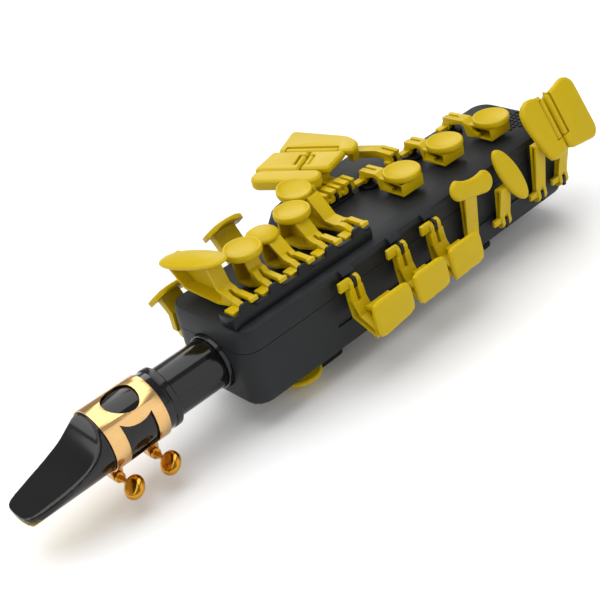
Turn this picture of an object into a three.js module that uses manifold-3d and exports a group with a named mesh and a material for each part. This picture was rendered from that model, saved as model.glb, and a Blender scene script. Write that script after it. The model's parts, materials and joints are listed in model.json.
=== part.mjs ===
// Digital wind controller, played like an alto saxophone. Millimetres, +Z up.
// Working frame: x runs from the mouthpiece end face of the housing to the far end, y = 0 is the middle of the
// housing, +y is the player's left hand side, z = 0 is the underside. The whole is then moved so that the origin
// lies on the flat under the thumb hook, on which the instrument rests.
import * as THREE from "three";
import { mergeVertices } from "three/addons/utils/BufferGeometryUtils.js";
import Module from "manifold-3d";

const wasm = await Module();
wasm.setup();

// Clearances and counts.
const fit = { seat: 0.3, run: 0.35, pin: 0.3, overrun: 2, weld: 0.0001, cornerShare: 0.4545 };
const facets = { pin: 6, lobe: 10, pad: 18, tube: 24, ring: 28, hidden: 12, bow: 5 };

// Housing.
const housing = {
  length: 202, width: 49, height: 37.2, parting: 26.4, partingGap: 0.3, corner: 8, edge: 3.4, wall: 2.2,
  tongue: 1.4, tongueRise: 1.8, lugShare: 0.7,
};
const top = housing.height;
const right = -housing.width / 2;
const left = housing.width / 2;
const wing = {
  from: 63, length: 79.4, reach: 22, tray: 20, edge: 2.4, root: 12,
  frontShares: [[0, 0], [0.04, 0.61], [0.14, 0.93], [0.315, 0.955]],
  backShares: [[0.87, 1], [0.93, 0.95], [0.95, 0.55], [1, 0]],
};
const recess = { from: 47.3, to: 176, bottom: 12, below: 3.5, depth: 0.8 };
const grille = { x: 187, y: -3, radius: 11.6, pitchAlong: 3.3, pitchAcross: 1.9, slotLong: 2.1, slotWide: 0.9 };

// Mouthpiece group, on an axis along x.
const axis = { y: 0, z: 16.6 };
const mouthpiece = {
  tip: 99, barrel: 13, barrelFrom: 27, bead: 0.3, beadLong: 3, shank: 11.2, inserted: 13, table: 9.7, tableFrom: 32.5,
  beak: 38, bore: 7.5, window: 11.6, windowFrom: 60, windowTo: 91, facing: 24, tipOpening: 1.7, tipThick: 1, facingShare: 0.4,
  beakShares: [[0.13, 0.17], [0.45, 0.36], [0.92, 0.53], [0.955, 0.62], [0.985, 0.82], [1, 1]],
  chamberShares: [[0.2, 0.14], [0.5, 0.27], [0.97, 0.4]],
  planShares: [[0, 0.18], [0.01, 0.42], [0.035, 0.6], [0.07, 0.71], [0.13, 0.79], [0.24, 0.88], [0.42, 0.955], [0.57, 1]],
};
const reed = { width: 15.8, from: 33, tip: 98.4, vamp: 36, tipThick: 0.3, gap: 0.25, vampShare: 0.4, vampTimes: 4 };
const ligature = {
  from: 33.8, length: 26.2, inner: 13.3, thick: 0.6, topLong: 14.4, topWide: 11.4, topAt: 46.5, roll: 13, slit: 1.8, lug: 2.4,
  lugHole: 1.7, lugLong: 4.2, lugDrop: 17.4, screwAt: 6.7, screwPitch: 17.6, screwRise: 0.8,
  eggShares: [[-0.5, 0.1], [-0.42, 0.3], [-0.22, 0.52], [0.06, 0.66], [0.32, 0.6], [0.47, 0.38], [0.5, 0.1]],
  windowPoints: [[-53.2, 24.7], [-50.6, 23.2], [-47, 22], [-43.4, 21.9], [-39.6, 23], [-39.4, 8], [-53.2, 7.2]],
};
const thumbScrew = { shank: 1.4, collar: 2.2, collarLong: 1.2, neck: 1.3, head: 5, headAt: 15.6, headThick: 4.4, face: 3.6 };
const collar = { proud: 2, outer: 12.5, inner: 11.5, flange: 14, flangeThick: 2, depth: 16, back: 1.8, outlet: 3.4 };

// Inside.
const board = { from: 20, to: 198.6, half: 14, lift: 8, thick: 1.6, pillar: 5, pillarIn: 9 };
const sockets = {
  portLong: 7.4, portWide: 9, portHigh: 3.3, portY: -8.4, jackR: 3, jackY: 1.6, jackLong: 12, high: 4,
  tipShare: 0.6,
};
const battery = { from: 70, length: 62, wide: 27, thick: 9 };
const speaker = { radius: 11.2, rim: 9.6, deep: 5, magnet: 6.5, magnetDeep: 3.2 };
const breath = { tube: 3, bore: 1.8, sensorFrom: 34, sensorLong: 12, sensorWide: 11, sensorHigh: 10.4 };
const button = { y: 9.2, z: 14.5, wide: 5, high: 3, proud: 1.2, travel: 3, flange: 1.6, flangeThick: 1.6 };
const screw = { x: 10, far: 172, y: 17.4, boss: 2.8, hole: 1.5, shank: 1.2, head: 2.4, headDeep: 1.6, long: 16, sleeve: 8 };

// Underside.
const rest = { level: -12, x: 50, length: 16, wide: 24, pad: 3.2, stem: 9, stemWide: 12, edgeShare: 0.25 };
const hook = { x: 150, length: 15, wide: 26, thick: 3, post: 8, postWide: 14, edgeShare: 0.25 };
const strap = { x: 118, outer: 5, inner: 3.2, thick: 3, foot: 12, footWide: 10, footThick: 2, drop: 6.6 };

// Hinges shared by every key.
const hinge = {
  pin: 1.1, pinLong: 0.8, lobe: 2.3, tab: 2, lug: 1.6, wall: 1.4, wallShare: 0.8, armDeep: 3.6, hookLong: 4.8,
  hookThick: 1.5,
};

// Left-hand comb rail.
const rail = {
  front: -19.9, back: -11, from: 1.6, to: 79, base: 1.7, blockTop: 5.3, hingeY: -14.5, hingeUp: 3.6, pitch: 15.6,
  slotFrom: 3.6, slot: 8, chamfer: 0.7, bore: 1.4, hoodThick: 1.5,
  hoodPoints: [[3.9, 0.3], [6.7, 8.2], [7.6, 8.8], [10.2, 8.7], [11.4, 8], [11.6, 6.6], [13.4, 6], [11.8, 0.3]],
};
const lever = {
  footSide: 0.35, footFrom: -2.8, footTo: 2.4, footLow: 2.1, footHigh: 6, fingerTip: -2.8, fingerDrop: 5.4, fingerTop: 7.8,
  armFrom: 8.4, armTo: 15.2, slotFrom: 11.2, slotTo: 12.6, prongLow: 7, prongHigh: 8.8, prongReach: -5.2, tipFrom: -3.8,
  tipOut: 0.7, armFoot: 4, pocketFrom: 9, pinLong: 1.3,
};

// Keys on the rail: reach is measured from the hinge, lift from the top face.
const railKeys = [
  {
    name: "key_front_f", skirtFrom: 12.6, skirtTo: 34.7, skirtLift: 2.4, backTo: 43.4, backLift: 9.5, kneeFrom: 10.5,
    kneeLift: 10.2, webFrom: 14.5, seatLift: 21, seatDrop: 6, neckLift: 9.3,
    touch: { kind: "oval", x: 9.5, y: 10.5, lift: 22.2, half: 19, side: 6.8, thick: 4.2, turnX: -0.16, tilt: -0.2 },
  },
  {
    name: "key_b", skirtFrom: 12, skirtTo: 19, skirtLift: 1.5, backTo: 19.9, backLift: 11.6, kneeFrom: 8.8,
    kneeLift: 10.8, webFrom: 10.5, seatLift: 16, neckLift: 10.3,
    touch: { kind: "dished", x: 27, y: -0.5, lift: 19, radius: 8.25, thick: 3.6, tilt: 0 },
  },
  {
    name: "key_bis", skirtFrom: 12.8, skirtTo: 18.8, skirtLift: 1.5, backTo: 20.4, backLift: 9.5, kneeFrom: 7.1,
    kneeLift: 8.9, webFrom: 13.4, seatLift: 14, neckLift: 8.2,
    touch: { kind: "domed", x: 41.8, y: 5.1, lift: 17.4, radius: 7.2, thick: 4.2, tilt: 0 },
  },
  {
    name: "key_a", skirtFrom: 14.3, skirtTo: 27.3, skirtLift: 1.8, backTo: 25.9, backLift: 11, kneeFrom: 8.3,
    kneeLift: 9.2, webFrom: 13.8, seatLift: 14.8, neckLift: 8.2,
    touch: { kind: "dished", x: 59.2, y: 5, lift: 17.8, radius: 8.25, thick: 3.6, tilt: 0 },
  },
  {
    name: "key_g", skirtFrom: 19.1, skirtTo: 31, skirtLift: 2, backTo: 33, backLift: 13, kneeFrom: 14,
    kneeLift: 7.4, webFrom: 22.2, seatLift: 16.2, neckLift: 7,
    touch: { kind: "dished", x: 71.2, y: 16, lift: 19, radius: 8, thick: 3.6, tilt: 0.16 },
  },
];

// Right-hand stack: reach runs from the hinge towards the right flank.
const stack = {
  hingeY: 14.5, hingeUp: 4.2, boxLift: 1.9, boxTop: 7.8, armBack: -1.4, armTop: 8.7, crest: 9.2, under: 7.2, armUnder: 6.8,
  kneeShares: [[-0.16, 9.1], [0.16, 7.2], [0.32, 4.8], [0.5, 4.4]], wide: 13.2, postBase: 5.4, postBaseHigh: 1.2,
  padThick: 3.5, radius: 8.5, forkSlot: 1.2, forkLong: 6,
  padBite: 0.01,
};
const stackKeys = [
  { name: "key_f", x: 111.8, from: 10.7, to: 25.3, padX: 115, padReach: 19.5 },
  { name: "key_e", x: 141.6, from: 9.9, to: 23.5, padX: 144.5, padReach: 18.5 },
  { name: "key_d", x: 168.6, from: 13, to: 27.5, padX: 172.5, padReach: 22.5 },
];

// Side keys on the right flank.
const sideHinge = {
  out: 2.6, z: 31, armOut: 3.2, waistDrop: 8, footDrop: 16, footRise: 2.6, web: 4.5, slot: 1.6, slotDrop: 8.4, hookLow: -1.6, hookUp: 2.8,
  shelfShare: 0.78, shelfThick: 2, shelfTop: 20.6,
};
const sideHood = { wide: 6.6, points: [[1.2, 33.8], [-1.5, 33.8], [-2, 34.5], [-1.2, 35.4], [0.9, 36.4], [2.4, 35.4]] };
const sideTouch = { out: 19.5, high: 23.4, thick: 3, round: 3.6, lean: 0.12, edgeShare: 0.3 };
const sideKeys = [
  { name: "key_side_e", x: 56.9, armWide: 7.6, from: 53, to: 75, low: 9.4, drop: 2.2 },
  { name: "key_side_c", x: 85.4, armWide: 7.6, from: 77.3, to: 97.2, low: 9.2, drop: 0 },
  { name: "key_side_b_flat", x: 106.6, armWide: 8, from: 99.6, to: 119.6, low: 9, drop: 0 },
];

// Keys hinged along the lower right edge.
const lowHinge = { out: 2.6, z: 8.4, armIn: 1.6, armOut: 5.2, footRise: 7, hookLow: 0.8, hookHigh: 3.8 };
const tall = { lean: 0.3, plateLean: 0.42, plateThick: 3.4, edge: 0.9, bite: 1, rimShare: 0.3 };
const kidney = {
  x: 129.4, wide: 7.6, padX: 130.9, z: 37.4, out: 3.6, armTop: 34, lobeA: 4.7, lobeB: 5, apart: 15.1, rise: -3, waist: 1.4,
  thick: 3,
};
const oval = { x: 151.6, wide: 7.2, padX: 156.2, z: 30.4, out: 4, armTop: 26.6, half: 14.4, side: 5.5, turn: 0.33, thick: 3 };
const littleLeft = {
  x: 178, wide: 6.8, low: 28, high: 57.2, lowFrom: 177.2, lowTo: 188.8, midFrom: 172.4, topFrom: 178.6, topTo: 189.2,
  armTop: 36,
};
const littleRight = {
  x: 194.4, wide: 6.4, low: 24.4, high: 55.4, lowFrom: 189.8, lowTo: 208, sideTo: 211.2, topMid: 196.4, armTop: 33,
  peak: 205.4, peakTo: 210.4,
};
const littlePlate = {
  y: -31, z: 42, rollerFrom: 14.4, rollerLong: 20, roller: 1.8, pin: 0.7, notch: 4.8, edge: 0.2, turn: 4.5, turnX: 188.3, turnZ: 53,
};

// Left little-finger table, turned about z.
const table = {
  x: 77.5, y: 49.5, turn: -63, lift: 14, thick: 3.8, barThick: 5.6, edge: 1, wall: 1.4, roller: 1.7, pin: 0.7,
  rollerGap: 0.35, bite: 0.4, hingeY: 16, hingeUp: 4.2, armLow: 3, armHigh: 8.2, armFlat: 5.4, forkSlot: 1.2, forkLong: 6.4, bandWide: 4.6, hookLong: 1.5,
};
const tablePlates = {
  gSharp: { from: -2.4, to: 31, near: -5.2, far: 4.9, round: 4.4, end: 2.6 },
  cSharp: { from: -2, to: 18.2, near: 5.5, far: 22.4, round: 1.6, skew: 1.6 },
  lowB: { from: 18.8, to: 34.2, near: 6.4, far: 22.4, round: 1.6, skew: 1.4 },
  lowBFlat: { from: 1.6, to: 39.4, near: 23, far: 43.6, round: 3, skew: 6.5, nose: 8 },
};

// Palm keys on the left flank.
const palm = {
  out: 2.6, z: 17, armIn: 1.8, armOut: 5.4, bend: 11.5, side: 6.2, thick: 2.6, arch: 1.4, lean: 0.72, lipShare: 0.8, rimShare: 0.3,
  faceShare: 0.2,  neck: 1.6,
};
const palmKeys = [
  { name: "key_palm_f", x: 7.6, y: 33.5, z: 36.5, half: 10.6, stem: 10 },
  { name: "key_palm_e_flat", x: 25.4, y: 34, z: 31, half: 6.8, stem: 9 },
  { name: "key_palm_d", x: 45.4, y: 39.4, z: 45.6, half: 10.8, stem: 12 },
];

// Octave key under the housing.
const octave = {
  x: 32, y: -11, hingeY: 10, radius: 10, thick: 2.6, low: -7.6, wide: 8, arm: 2.2, under: 2.4, hingeDrop: 3.4,
  lowShare: 0.4, rimShare: 0.3,
};

// Colours.
const finish = {
  charcoal: { color: 0x26282b, roughness: 0.62, metalness: 0 },
  black: { color: 0x141517, roughness: 0.55, metalness: 0 },
  yellow: { color: 0xe3c814, roughness: 0.42, metalness: 0 },
  ebonite: { color: 0x0a0a0b, roughness: 0.15, metalness: 0 },
  cane: { color: 0xd9b96a, roughness: 0.6, metalness: 0 },
  gilt: { color: 0xe2bd74, roughness: 0.22, metalness: 1 },
  giltDeep: { color: 0xd9a441, roughness: 0.22, metalness: 1 },
  steel: { color: 0x9da1a6, roughness: 0.35, metalness: 1 },
  board: { color: 0x1d5a35, roughness: 0.6, metalness: 0 },
  foil: { color: 0x8f979f, roughness: 0.5, metalness: 0 },
  silicone: { color: 0xc9ccd0, roughness: 0.7, metalness: 0 },
};

// Solid helpers.
function solid(geometry) {
  const bare = geometry.clone();
  bare.deleteAttribute("normal");
  bare.deleteAttribute("uv");
  const merged = mergeVertices(bare, fit.weld);
  return new wasm.Manifold(new wasm.Mesh({
    numProp: 3,
    vertProperties: new Float32Array(merged.attributes.position.array),
    triVerts: new Uint32Array(merged.index.array),
  }));
}

const join = (...parts) => parts.flat().reduce((whole, part) => whole.add(part));
const cut = (base, ...tools) => tools.flat().reduce((whole, tool) => whole.subtract(tool), base);

function block(x0, x1, y0, y1, z0, z1) {
  const geometry = new THREE.BoxGeometry(x1 - x0, y1 - y0, z1 - z0);
  return solid(geometry.translate((x0 + x1) / 2, (y0 + y1) / 2, (z0 + z1) / 2));
}

function rodX(y, z, radius, x0, x1, count = facets.lobe) {
  const geometry = new THREE.CylinderGeometry(radius, radius, x1 - x0, count);
  return solid(geometry.rotateZ(-Math.PI / 2).translate((x0 + x1) / 2, y, z));
}

function rodY(x, z, radius, y0, y1, count = facets.lobe) {
  return solid(new THREE.CylinderGeometry(radius, radius, y1 - y0, count).translate(x, (y0 + y1) / 2, z));
}

function rodZ(x, y, radius, z0, z1, count = facets.lobe) {
  const geometry = new THREE.CylinderGeometry(radius, radius, z1 - z0, count);
  return solid(geometry.rotateX(Math.PI / 2).translate(x, y, (z0 + z1) / 2));
}

const shapeOf = (points) => new THREE.Shape(points.map(([a, b]) => new THREE.Vector2(a, b)));
const plain = (depth) => ({ depth, bevelEnabled: false, curveSegments: 4 });

// Points are [y, z].
function prismX(points, x0, x1) {
  const geometry = new THREE.ExtrudeGeometry(shapeOf(points), plain(x1 - x0));
  const basis = new THREE.Matrix4().makeBasis(
    new THREE.Vector3(0, 1, 0), new THREE.Vector3(0, 0, 1), new THREE.Vector3(1, 0, 0),
  );
  return solid(geometry.applyMatrix4(basis).translate(x0, 0, 0));
}

// Points are [x, z].
function prismY(points, y0, y1) {
  return solid(new THREE.ExtrudeGeometry(shapeOf(points), plain(y1 - y0)).rotateX(Math.PI / 2).translate(0, y1, 0));
}

// Points are [x, y], or a ready shape.
function prismZ(points, z0, z1) {
  const shape = Array.isArray(points) ? shapeOf(points) : points;
  return solid(new THREE.ExtrudeGeometry(shape, plain(z1 - z0)).translate(0, 0, z0));
}

// A slab whose rims are rounded by edge, drawn inset from the outline.
function slabGeometry(shape, z0, z1, edge, steps, curve, inset = 0) {
  return new THREE.ExtrudeGeometry(shape, {
    depth: z1 - z0 - 2 * edge, bevelEnabled: true, bevelThickness: edge, bevelSize: edge,
    bevelOffset: -edge - inset, bevelSegments: steps, curveSegments: curve,
  }).translate(0, 0, z0 + edge);
}

// A profile of [along, radius] pairs turned about the mouthpiece axis.
function turned(profile, count = facets.tube) {
  const points = profile.map(([along, radius]) => new THREE.Vector2(radius, along));
  const geometry = new THREE.LatheGeometry(points, count);
  return solid(geometry.rotateZ(-Math.PI / 2).translate(0, axis.y, axis.z));
}

function roundedRectangle(x0, x1, y0, y1, radius) {
  const shape = new THREE.Shape();
  shape.moveTo(x0 + radius, y0);
  shape.lineTo(x1 - radius, y0);
  shape.absarc(x1 - radius, y0 + radius, radius, -Math.PI / 2, 0);
  shape.lineTo(x1, y1 - radius);
  shape.absarc(x1 - radius, y1 - radius, radius, 0, Math.PI / 2);
  shape.lineTo(x0 + radius, y1);
  shape.absarc(x0 + radius, y1 - radius, radius, Math.PI / 2, Math.PI);
  shape.lineTo(x0, y0 + radius);
  shape.absarc(x0 + radius, y0 + radius, radius, Math.PI, 1.5 * Math.PI);
  return shape;
}

// The outline moved inwards by a wall, corner by corner.
function insetOutline(points, wall) {
  const area = points.reduce((sum, [a, b], i) => {
    const [c, d] = points[(i + 1) % points.length];
    return sum + a * d - c * b;
  }, 0);
  const sign = area > 0 ? 1 : -1;
  const edges = points.map(([a, b], i) => {
    const [c, d] = points[(i + 1) % points.length];
    const long = Math.hypot(c - a, d - b);
    const normal = [-sign * (d - b) / long, sign * (c - a) / long];
    return { at: [a + normal[0] * wall, b + normal[1] * wall], way: [(c - a) / long, (d - b) / long] };
  });
  return edges.map((edge, i) => {
    const before = edges[(i + edges.length - 1) % edges.length];
    const cross = before.way[0] * edge.way[1] - before.way[1] * edge.way[0];
    const run = ((edge.at[0] - before.at[0]) * edge.way[1] - (edge.at[1] - before.at[1]) * edge.way[0]) / cross;
    return [before.at[0] + run * before.way[0], before.at[1] + run * before.way[1]];
  });
}

const pad = { rimShare: 0.28, domeShare: 0.36 };

// Touches are turned profiles with their top at z = 0; the rim is rounded.
function touchGeometry(kind, radius, thick) {
  const rim = thick * pad.rimShare;
  const rimTop = kind === "dished" ? 0 : -thick * pad.domeShare;
  const crown = kind === "dished" ? [[0.45, -0.28], [0, -0.36]] : [[0.5, -0.08], [0, 0]];
  const profile = [[0, -thick], [radius - rim / 2, -thick], [radius, rim / 2 - thick], [radius, rimTop - rim],
    [radius - rim, rimTop], ...crown.map(([out, up]) => [radius * out, thick * up])];
  return new THREE.LatheGeometry(profile.map(([a, b]) => new THREE.Vector2(a, b)), facets.pad).rotateX(Math.PI / 2);
}

function touch(spec, tilt = spec.tilt) {
  const kind = spec.kind === "dished" ? "dished" : "domed";
  const geometry = touchGeometry(kind, spec.side ?? spec.radius, spec.thick);
  if (spec.half) geometry.scale(1, spec.half / spec.side, 1);
  geometry.rotateX(tilt);
  if (spec.turnX) geometry.rotateZ(-spec.turnX);
  return solid(geometry.translate(spec.x, spec.y, top + spec.lift));
}

// A tab from two root points round the pin axis.
function tabOutline(y, z, [rootA, rootB]) {
  const back = Math.atan2((rootA[1] + rootB[1]) / 2 - z, (rootA[0] + rootB[0]) / 2 - y);
  const arc = [0, 1, 2, 3, 4].map((step) => back + Math.PI / 2 + step * Math.PI / 4)
    .map((angle) => [y + hinge.lobe * Math.cos(angle), z + hinge.lobe * Math.sin(angle)]);
  const side = Math.cos(back) * (rootA[1] - z) - Math.sin(back) * (rootA[0] - y);
  return side > 0 ? [rootA, ...arc, rootB] : [rootB, ...arc, rootA];
}

// Two tabs with inward pins that hold a lug of the housing or of a hinge block between them.
function forkEnd(y, z, x, roots) {
  const inner = hinge.lug / 2 + fit.run;
  const outer = inner + hinge.tab;
  return [-1, 1].flatMap((side) => {
    const span = [x + side * inner, x + side * outer].sort((a, b) => a - b);
    const pin = [x + side * (inner - hinge.pinLong), x + side * (inner + hinge.tab / 2)].sort((a, b) => a - b);
    return [prismX(tabOutline(y, z, roots), span[0], span[1]), rodX(y, z, hinge.pin, pin[0], pin[1], facets.pin)];
  });
}

function lugBore(y, z, x) {
  return rodX(y, z, hinge.pin + fit.pin, x - hinge.lug, x + hinge.lug, facets.pin);
}

// Housing shells.
function housingShape() {
  return roundedRectangle(0, housing.length, right, left, housing.corner);
}

function wingShape() {
  const at = ([along, out]) => [wing.from + wing.length * along, left + wing.reach * out];
  const shape = new THREE.Shape();
  const front = wing.frontShares.map(at);
  const back = wing.backShares.map(at);
  shape.moveTo(wing.from, left - wing.root);
  shape.lineTo(...front[0]);
  shape.bezierCurveTo(...front[1], ...front[2], ...front[3]);
  shape.lineTo(...back[0]);
  shape.bezierCurveTo(...back[1], ...back[2], ...back[3]);
  shape.lineTo(wing.from + wing.length, left - wing.root);
  return shape;
}

function housingSolid(inset, steps) {
  const edge = inset > 0 ? housing.edge / 2 : housing.edge;
  const main = solid(slabGeometry(housingShape(), inset, top - inset, edge, steps, 2, inset));
  const wingEdge = inset > 0 ? wing.edge / 2 : wing.edge;
  const bulge = solid(slabGeometry(wingShape(), wing.tray + inset, top - inset, wingEdge, 1, 3, inset));
  return join(main, bulge);
}

function shells() {
  const far = housing.length + wing.length;
  const outer = cut(housingSolid(0, 2), block(
    recess.from, recess.to, right - fit.overrun, right + recess.depth, recess.bottom, top - recess.below,
  ));
  const hollow = housingSolid(housing.wall, 1);
  const above = block(-fit.overrun, far, -far, far, housing.parting + housing.partingGap, top + fit.overrun);
  const below = block(-fit.overrun, far, -far, far, -fit.overrun, housing.parting);
  const rootBand = block(-fit.overrun, far, -far, far, housing.parting - housing.tongueRise, housing.parting);
  const lipBand = block(-fit.overrun, far, -far, far, housing.parting, housing.parting + housing.tongueRise);
  const tongueOut = housingSolid(housing.wall + fit.seat, 1);
  const tongueIn = housingSolid(housing.wall + fit.seat + housing.tongue, 1);
  const socket = rodX(axis.y, axis.z, collar.outer + fit.seat, -fit.overrun, housing.wall + fit.overrun, facets.tube);
  const flangeRoom = rodX(axis.y, axis.z, collar.flange + fit.seat, housing.wall, collar.depth, facets.tube);
  const screwSpots = [screw.x, screw.far].flatMap((x) => [-1, 1].map((side) => [x, side * screw.y]));

  let upper = cut(outer.intersect(above), hollow);
  screwSpots.forEach(([x, y]) => {
    const boss = rodZ(x, y, screw.boss, screw.sleeve + fit.seat, top - housing.wall + fit.seat, facets.pin);
    upper = cut(upper.add(boss), rodZ(x, y, screw.hole, screw.sleeve, screw.long + fit.seat, facets.pin));
  });
  const sideLugs = sideKeys.map((key) => block(
    key.x - hinge.lug / 2, key.x + hinge.lug / 2, right - sideHinge.out - hinge.lobe, right + recess.depth + fit.seat,
    sideHinge.z - hinge.lobe, sideHinge.z + hinge.lobe,
  ));
  const hoods = sideKeys.map((key) => prismX(
    sideHood.points.map(([y, z]) => [right + y, z]), key.x - sideHood.wide / 2, key.x + sideHood.wide / 2,
  ));
  upper = join(upper, sideLugs, hoods);
  upper = cut(upper, sideKeys.map((key) => lugBore(right - sideHinge.out, sideHinge.z, key.x)), grilleSlots(), socket);

  let lower = cut(outer.intersect(below), hollow);
  const tongue = cut(join(hollow.intersect(rootBand), tongueOut.intersect(lipBand)), tongueIn);
  lower = lower.add(tongue);
  const lowLugs = lowKeyPlaces().map((x) => block(
    x - hinge.lug / 2, x + hinge.lug / 2, right - lowHinge.out - hinge.lobe, right + housing.wall * housing.lugShare,
    lowHinge.z - hinge.lobe, lowHinge.z + hinge.lobe,
  ));
  const palmLugs = palmKeys.map((key) => block(
    key.x - hinge.lug / 2, key.x + hinge.lug / 2, left - fit.seat, left + palm.out + hinge.lobe,
    palm.z - hinge.lobe, palm.z + hinge.lobe,
  ));
  const octaveLug = block(
    octave.x - hinge.lug / 2, octave.x + hinge.lug / 2, octave.hingeY - hinge.lobe, octave.hingeY + hinge.lobe,
    -octave.hingeDrop - hinge.lobe, fit.seat,
  );
  const pillars = [board.from + board.pillarIn, board.to - board.pillarIn].flatMap((x) => [-1, 1].map((side) => {
    const y = side * (board.half - board.pillar / 2);
    return block(
      x - board.pillar / 2, x + board.pillar / 2, y - board.pillar / 2, y + board.pillar / 2,
      housing.wall - fit.seat, board.lift - fit.seat,
    );
  }));
  const sleeves = screwSpots.map(([x, y]) => rodZ(x, y, screw.boss, fit.seat, screw.sleeve, facets.pin));
  lower = join(lower, lowLugs, palmLugs, octaveLug, pillars, sleeves);
  lower = cut(
    lower, socket, flangeRoom, farOpenings(),
    lowKeyPlaces().map((x) => lugBore(right - lowHinge.out, lowHinge.z, x)),
    palmKeys.map((key) => lugBore(left + palm.out, palm.z, key.x)),
    lugBore(octave.hingeY, -octave.hingeDrop, octave.x),
    screwSpots.map(([x, y]) => rodZ(x, y, screw.shank + fit.pin, -fit.overrun, screw.sleeve + fit.overrun, facets.pin)),
    screwSpots.map(([x, y]) => rodZ(x, y, screw.head + fit.pin, -fit.overrun, screw.headDeep, facets.lobe)),
  );
  return { upper, lower, screwSpots };
}

function lowKeyPlaces() {
  return [kidney.x, oval.x, littleLeft.x, littleRight.x];
}

// Rows of short slanting slots inside a circle, every other row shifted by half a step.
function grilleSlots() {
  const slots = [];
  const rows = Math.floor(grille.radius / grille.pitchAcross);
  const columns = Math.ceil(grille.radius / grille.pitchAlong);
  const slant = ([along, across]) => [
    grille.x + (along + across) * Math.SQRT1_2, grille.y + (across - along) * Math.SQRT1_2,
  ];
  const [half, nose] = [grille.slotLong / 2, grille.slotWide / 2];
  for (let row = -rows; row <= rows; row += 1) {
    for (let column = -columns; column <= columns; column += 1) {
      const shift = row % 2 === 0 ? 0 : grille.pitchAlong / 2;
      const [u, v] = [column * grille.pitchAlong + shift, row * grille.pitchAcross];
      if (Math.hypot(u, v) + half > grille.radius) continue;
      slots.push(prismZ(
        [[u - half, v - nose], [u + half, v - nose], [u + half, v + nose], [u - half, v + nose]].map(slant),
        top - housing.wall - fit.overrun, top + fit.overrun,
      ));
    }
  }
  return slots;
}

function farOpenings() {
  const base = board.lift + board.thick;
  const [x0, x1] = [housing.length - housing.wall - fit.overrun, housing.length + fit.overrun];
  const port = block(
    x0, x1, sockets.portY - sockets.portWide / 2 - fit.seat, sockets.portY + sockets.portWide / 2 + fit.seat,
    base - 2 * fit.seat, base + sockets.portHigh + 2 * fit.seat,
  );
  const jack = rodX(sockets.jackY, base + fit.seat + sockets.jackR, sockets.jackR + fit.seat, x0, x1, facets.lobe);
  const slot = block(
    x0, x1, button.y - button.wide / 2 - fit.seat, button.y + button.wide / 2 + button.travel + fit.seat,
    button.z - button.high / 2 - fit.seat, button.z + button.high / 2 + fit.seat,
  );
  return [port, jack, slot];
}

// Mouthpiece, reed, ligature.
// The outline seen from above, from the far end round the rounded tip and back.
function tipOutline(tip, half) {
  const back = mouthpiece.inserted + fit.overrun;
  const edge = mouthpiece.planShares.map(([along, out]) => [-tip + mouthpiece.beak * along, mouthpiece.barrel * out]);
  const kept = edge.filter(([, out]) => out < half);
  const wide = [back, half + fit.overrun];
  const shoulder = [-tip + mouthpiece.beak, half + fit.overrun];
  const near = [...kept, [-tip + mouthpiece.beak * mouthpiece.planShares[kept.length - 1][0] + fit.overrun, half], shoulder, wide];
  return [...near.map(([x, y]) => [x, -y]), ...near.toReversed()];
}

function mouthpieceSolid() {
  const m = mouthpiece;
  const tablePlane = axis.z - m.table;
  const crown = axis.z + m.barrel;
  const beakFrom = -m.tip + m.beak;
  const body = turned([
    [-m.tip - fit.overrun, 0], [-m.tip - fit.overrun, m.barrel], [-m.barrelFrom - m.beadLong, m.barrel], [-m.barrelFrom - m.beadLong, m.barrel + m.bead],
    [-m.barrelFrom, m.barrel + m.bead], [-m.barrelFrom, m.shank], [m.inserted, m.shank], [m.inserted, 0],
  ]);
  const beak = m.beakShares.map(([along, up]) => [-m.tip + m.beak * along, tablePlane + (crown - tablePlane) * up]);
  const side = prismY([
    [m.inserted + fit.overrun, crown + fit.overrun], [m.inserted + fit.overrun, axis.z - crown],
    [-m.tableFrom, axis.z - crown], [-m.tableFrom, tablePlane], [-m.tip + m.facing, tablePlane],
    [-m.tip + m.facing * m.facingShare, tablePlane + m.tipOpening * m.facingShare], [-m.tip, tablePlane + m.tipOpening],
    [-m.tip, tablePlane + m.tipOpening + m.tipThick], ...beak, [beakFrom, crown + fit.overrun],
  ], -crown, crown);
  const plan = prismZ(tipOutline(m.tip, m.barrel), -crown, crown + crown);
  const roof = m.chamberShares.map(([along, up]) => [-m.tip + m.beak * along, tablePlane + (crown - tablePlane) * up]);
  const chamber = prismY([
    [-m.windowFrom + m.bore, axis.z], [-m.windowFrom, tablePlane - fit.overrun], [-m.windowTo, tablePlane - fit.overrun],
    ...roof,
  ], -m.window / 2, m.window / 2);
  const bore = rodX(axis.y, axis.z, m.bore, -m.windowFrom, m.inserted + fit.overrun, facets.pad);
  return cut(body.intersect(side).intersect(plan), bore, chamber);
}

function reedSolid() {
  const flat = axis.z - mouthpiece.table - reed.gap;
  const heel = axis.z - mouthpiece.barrel;
  const side = prismY([
    [-reed.from, flat], [-reed.from, heel - fit.overrun], [-reed.tip + reed.vamp, heel - fit.overrun],
    [-reed.tip + reed.vamp, heel], [-reed.tip + reed.vamp * reed.vampShare, flat - reed.tipThick * reed.vampTimes],
    [-reed.tip, flat - reed.tipThick], [-reed.tip, flat],
  ], -reed.width / 2, reed.width / 2);
  const under = rodX(axis.y, axis.z, mouthpiece.barrel, -mouthpiece.tip, 0, facets.ring);
  const plan = prismZ(tipOutline(reed.tip, reed.width / 2), heel - fit.overrun, flat + fit.overrun);
  return side.intersect(under).intersect(plan);
}

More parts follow.
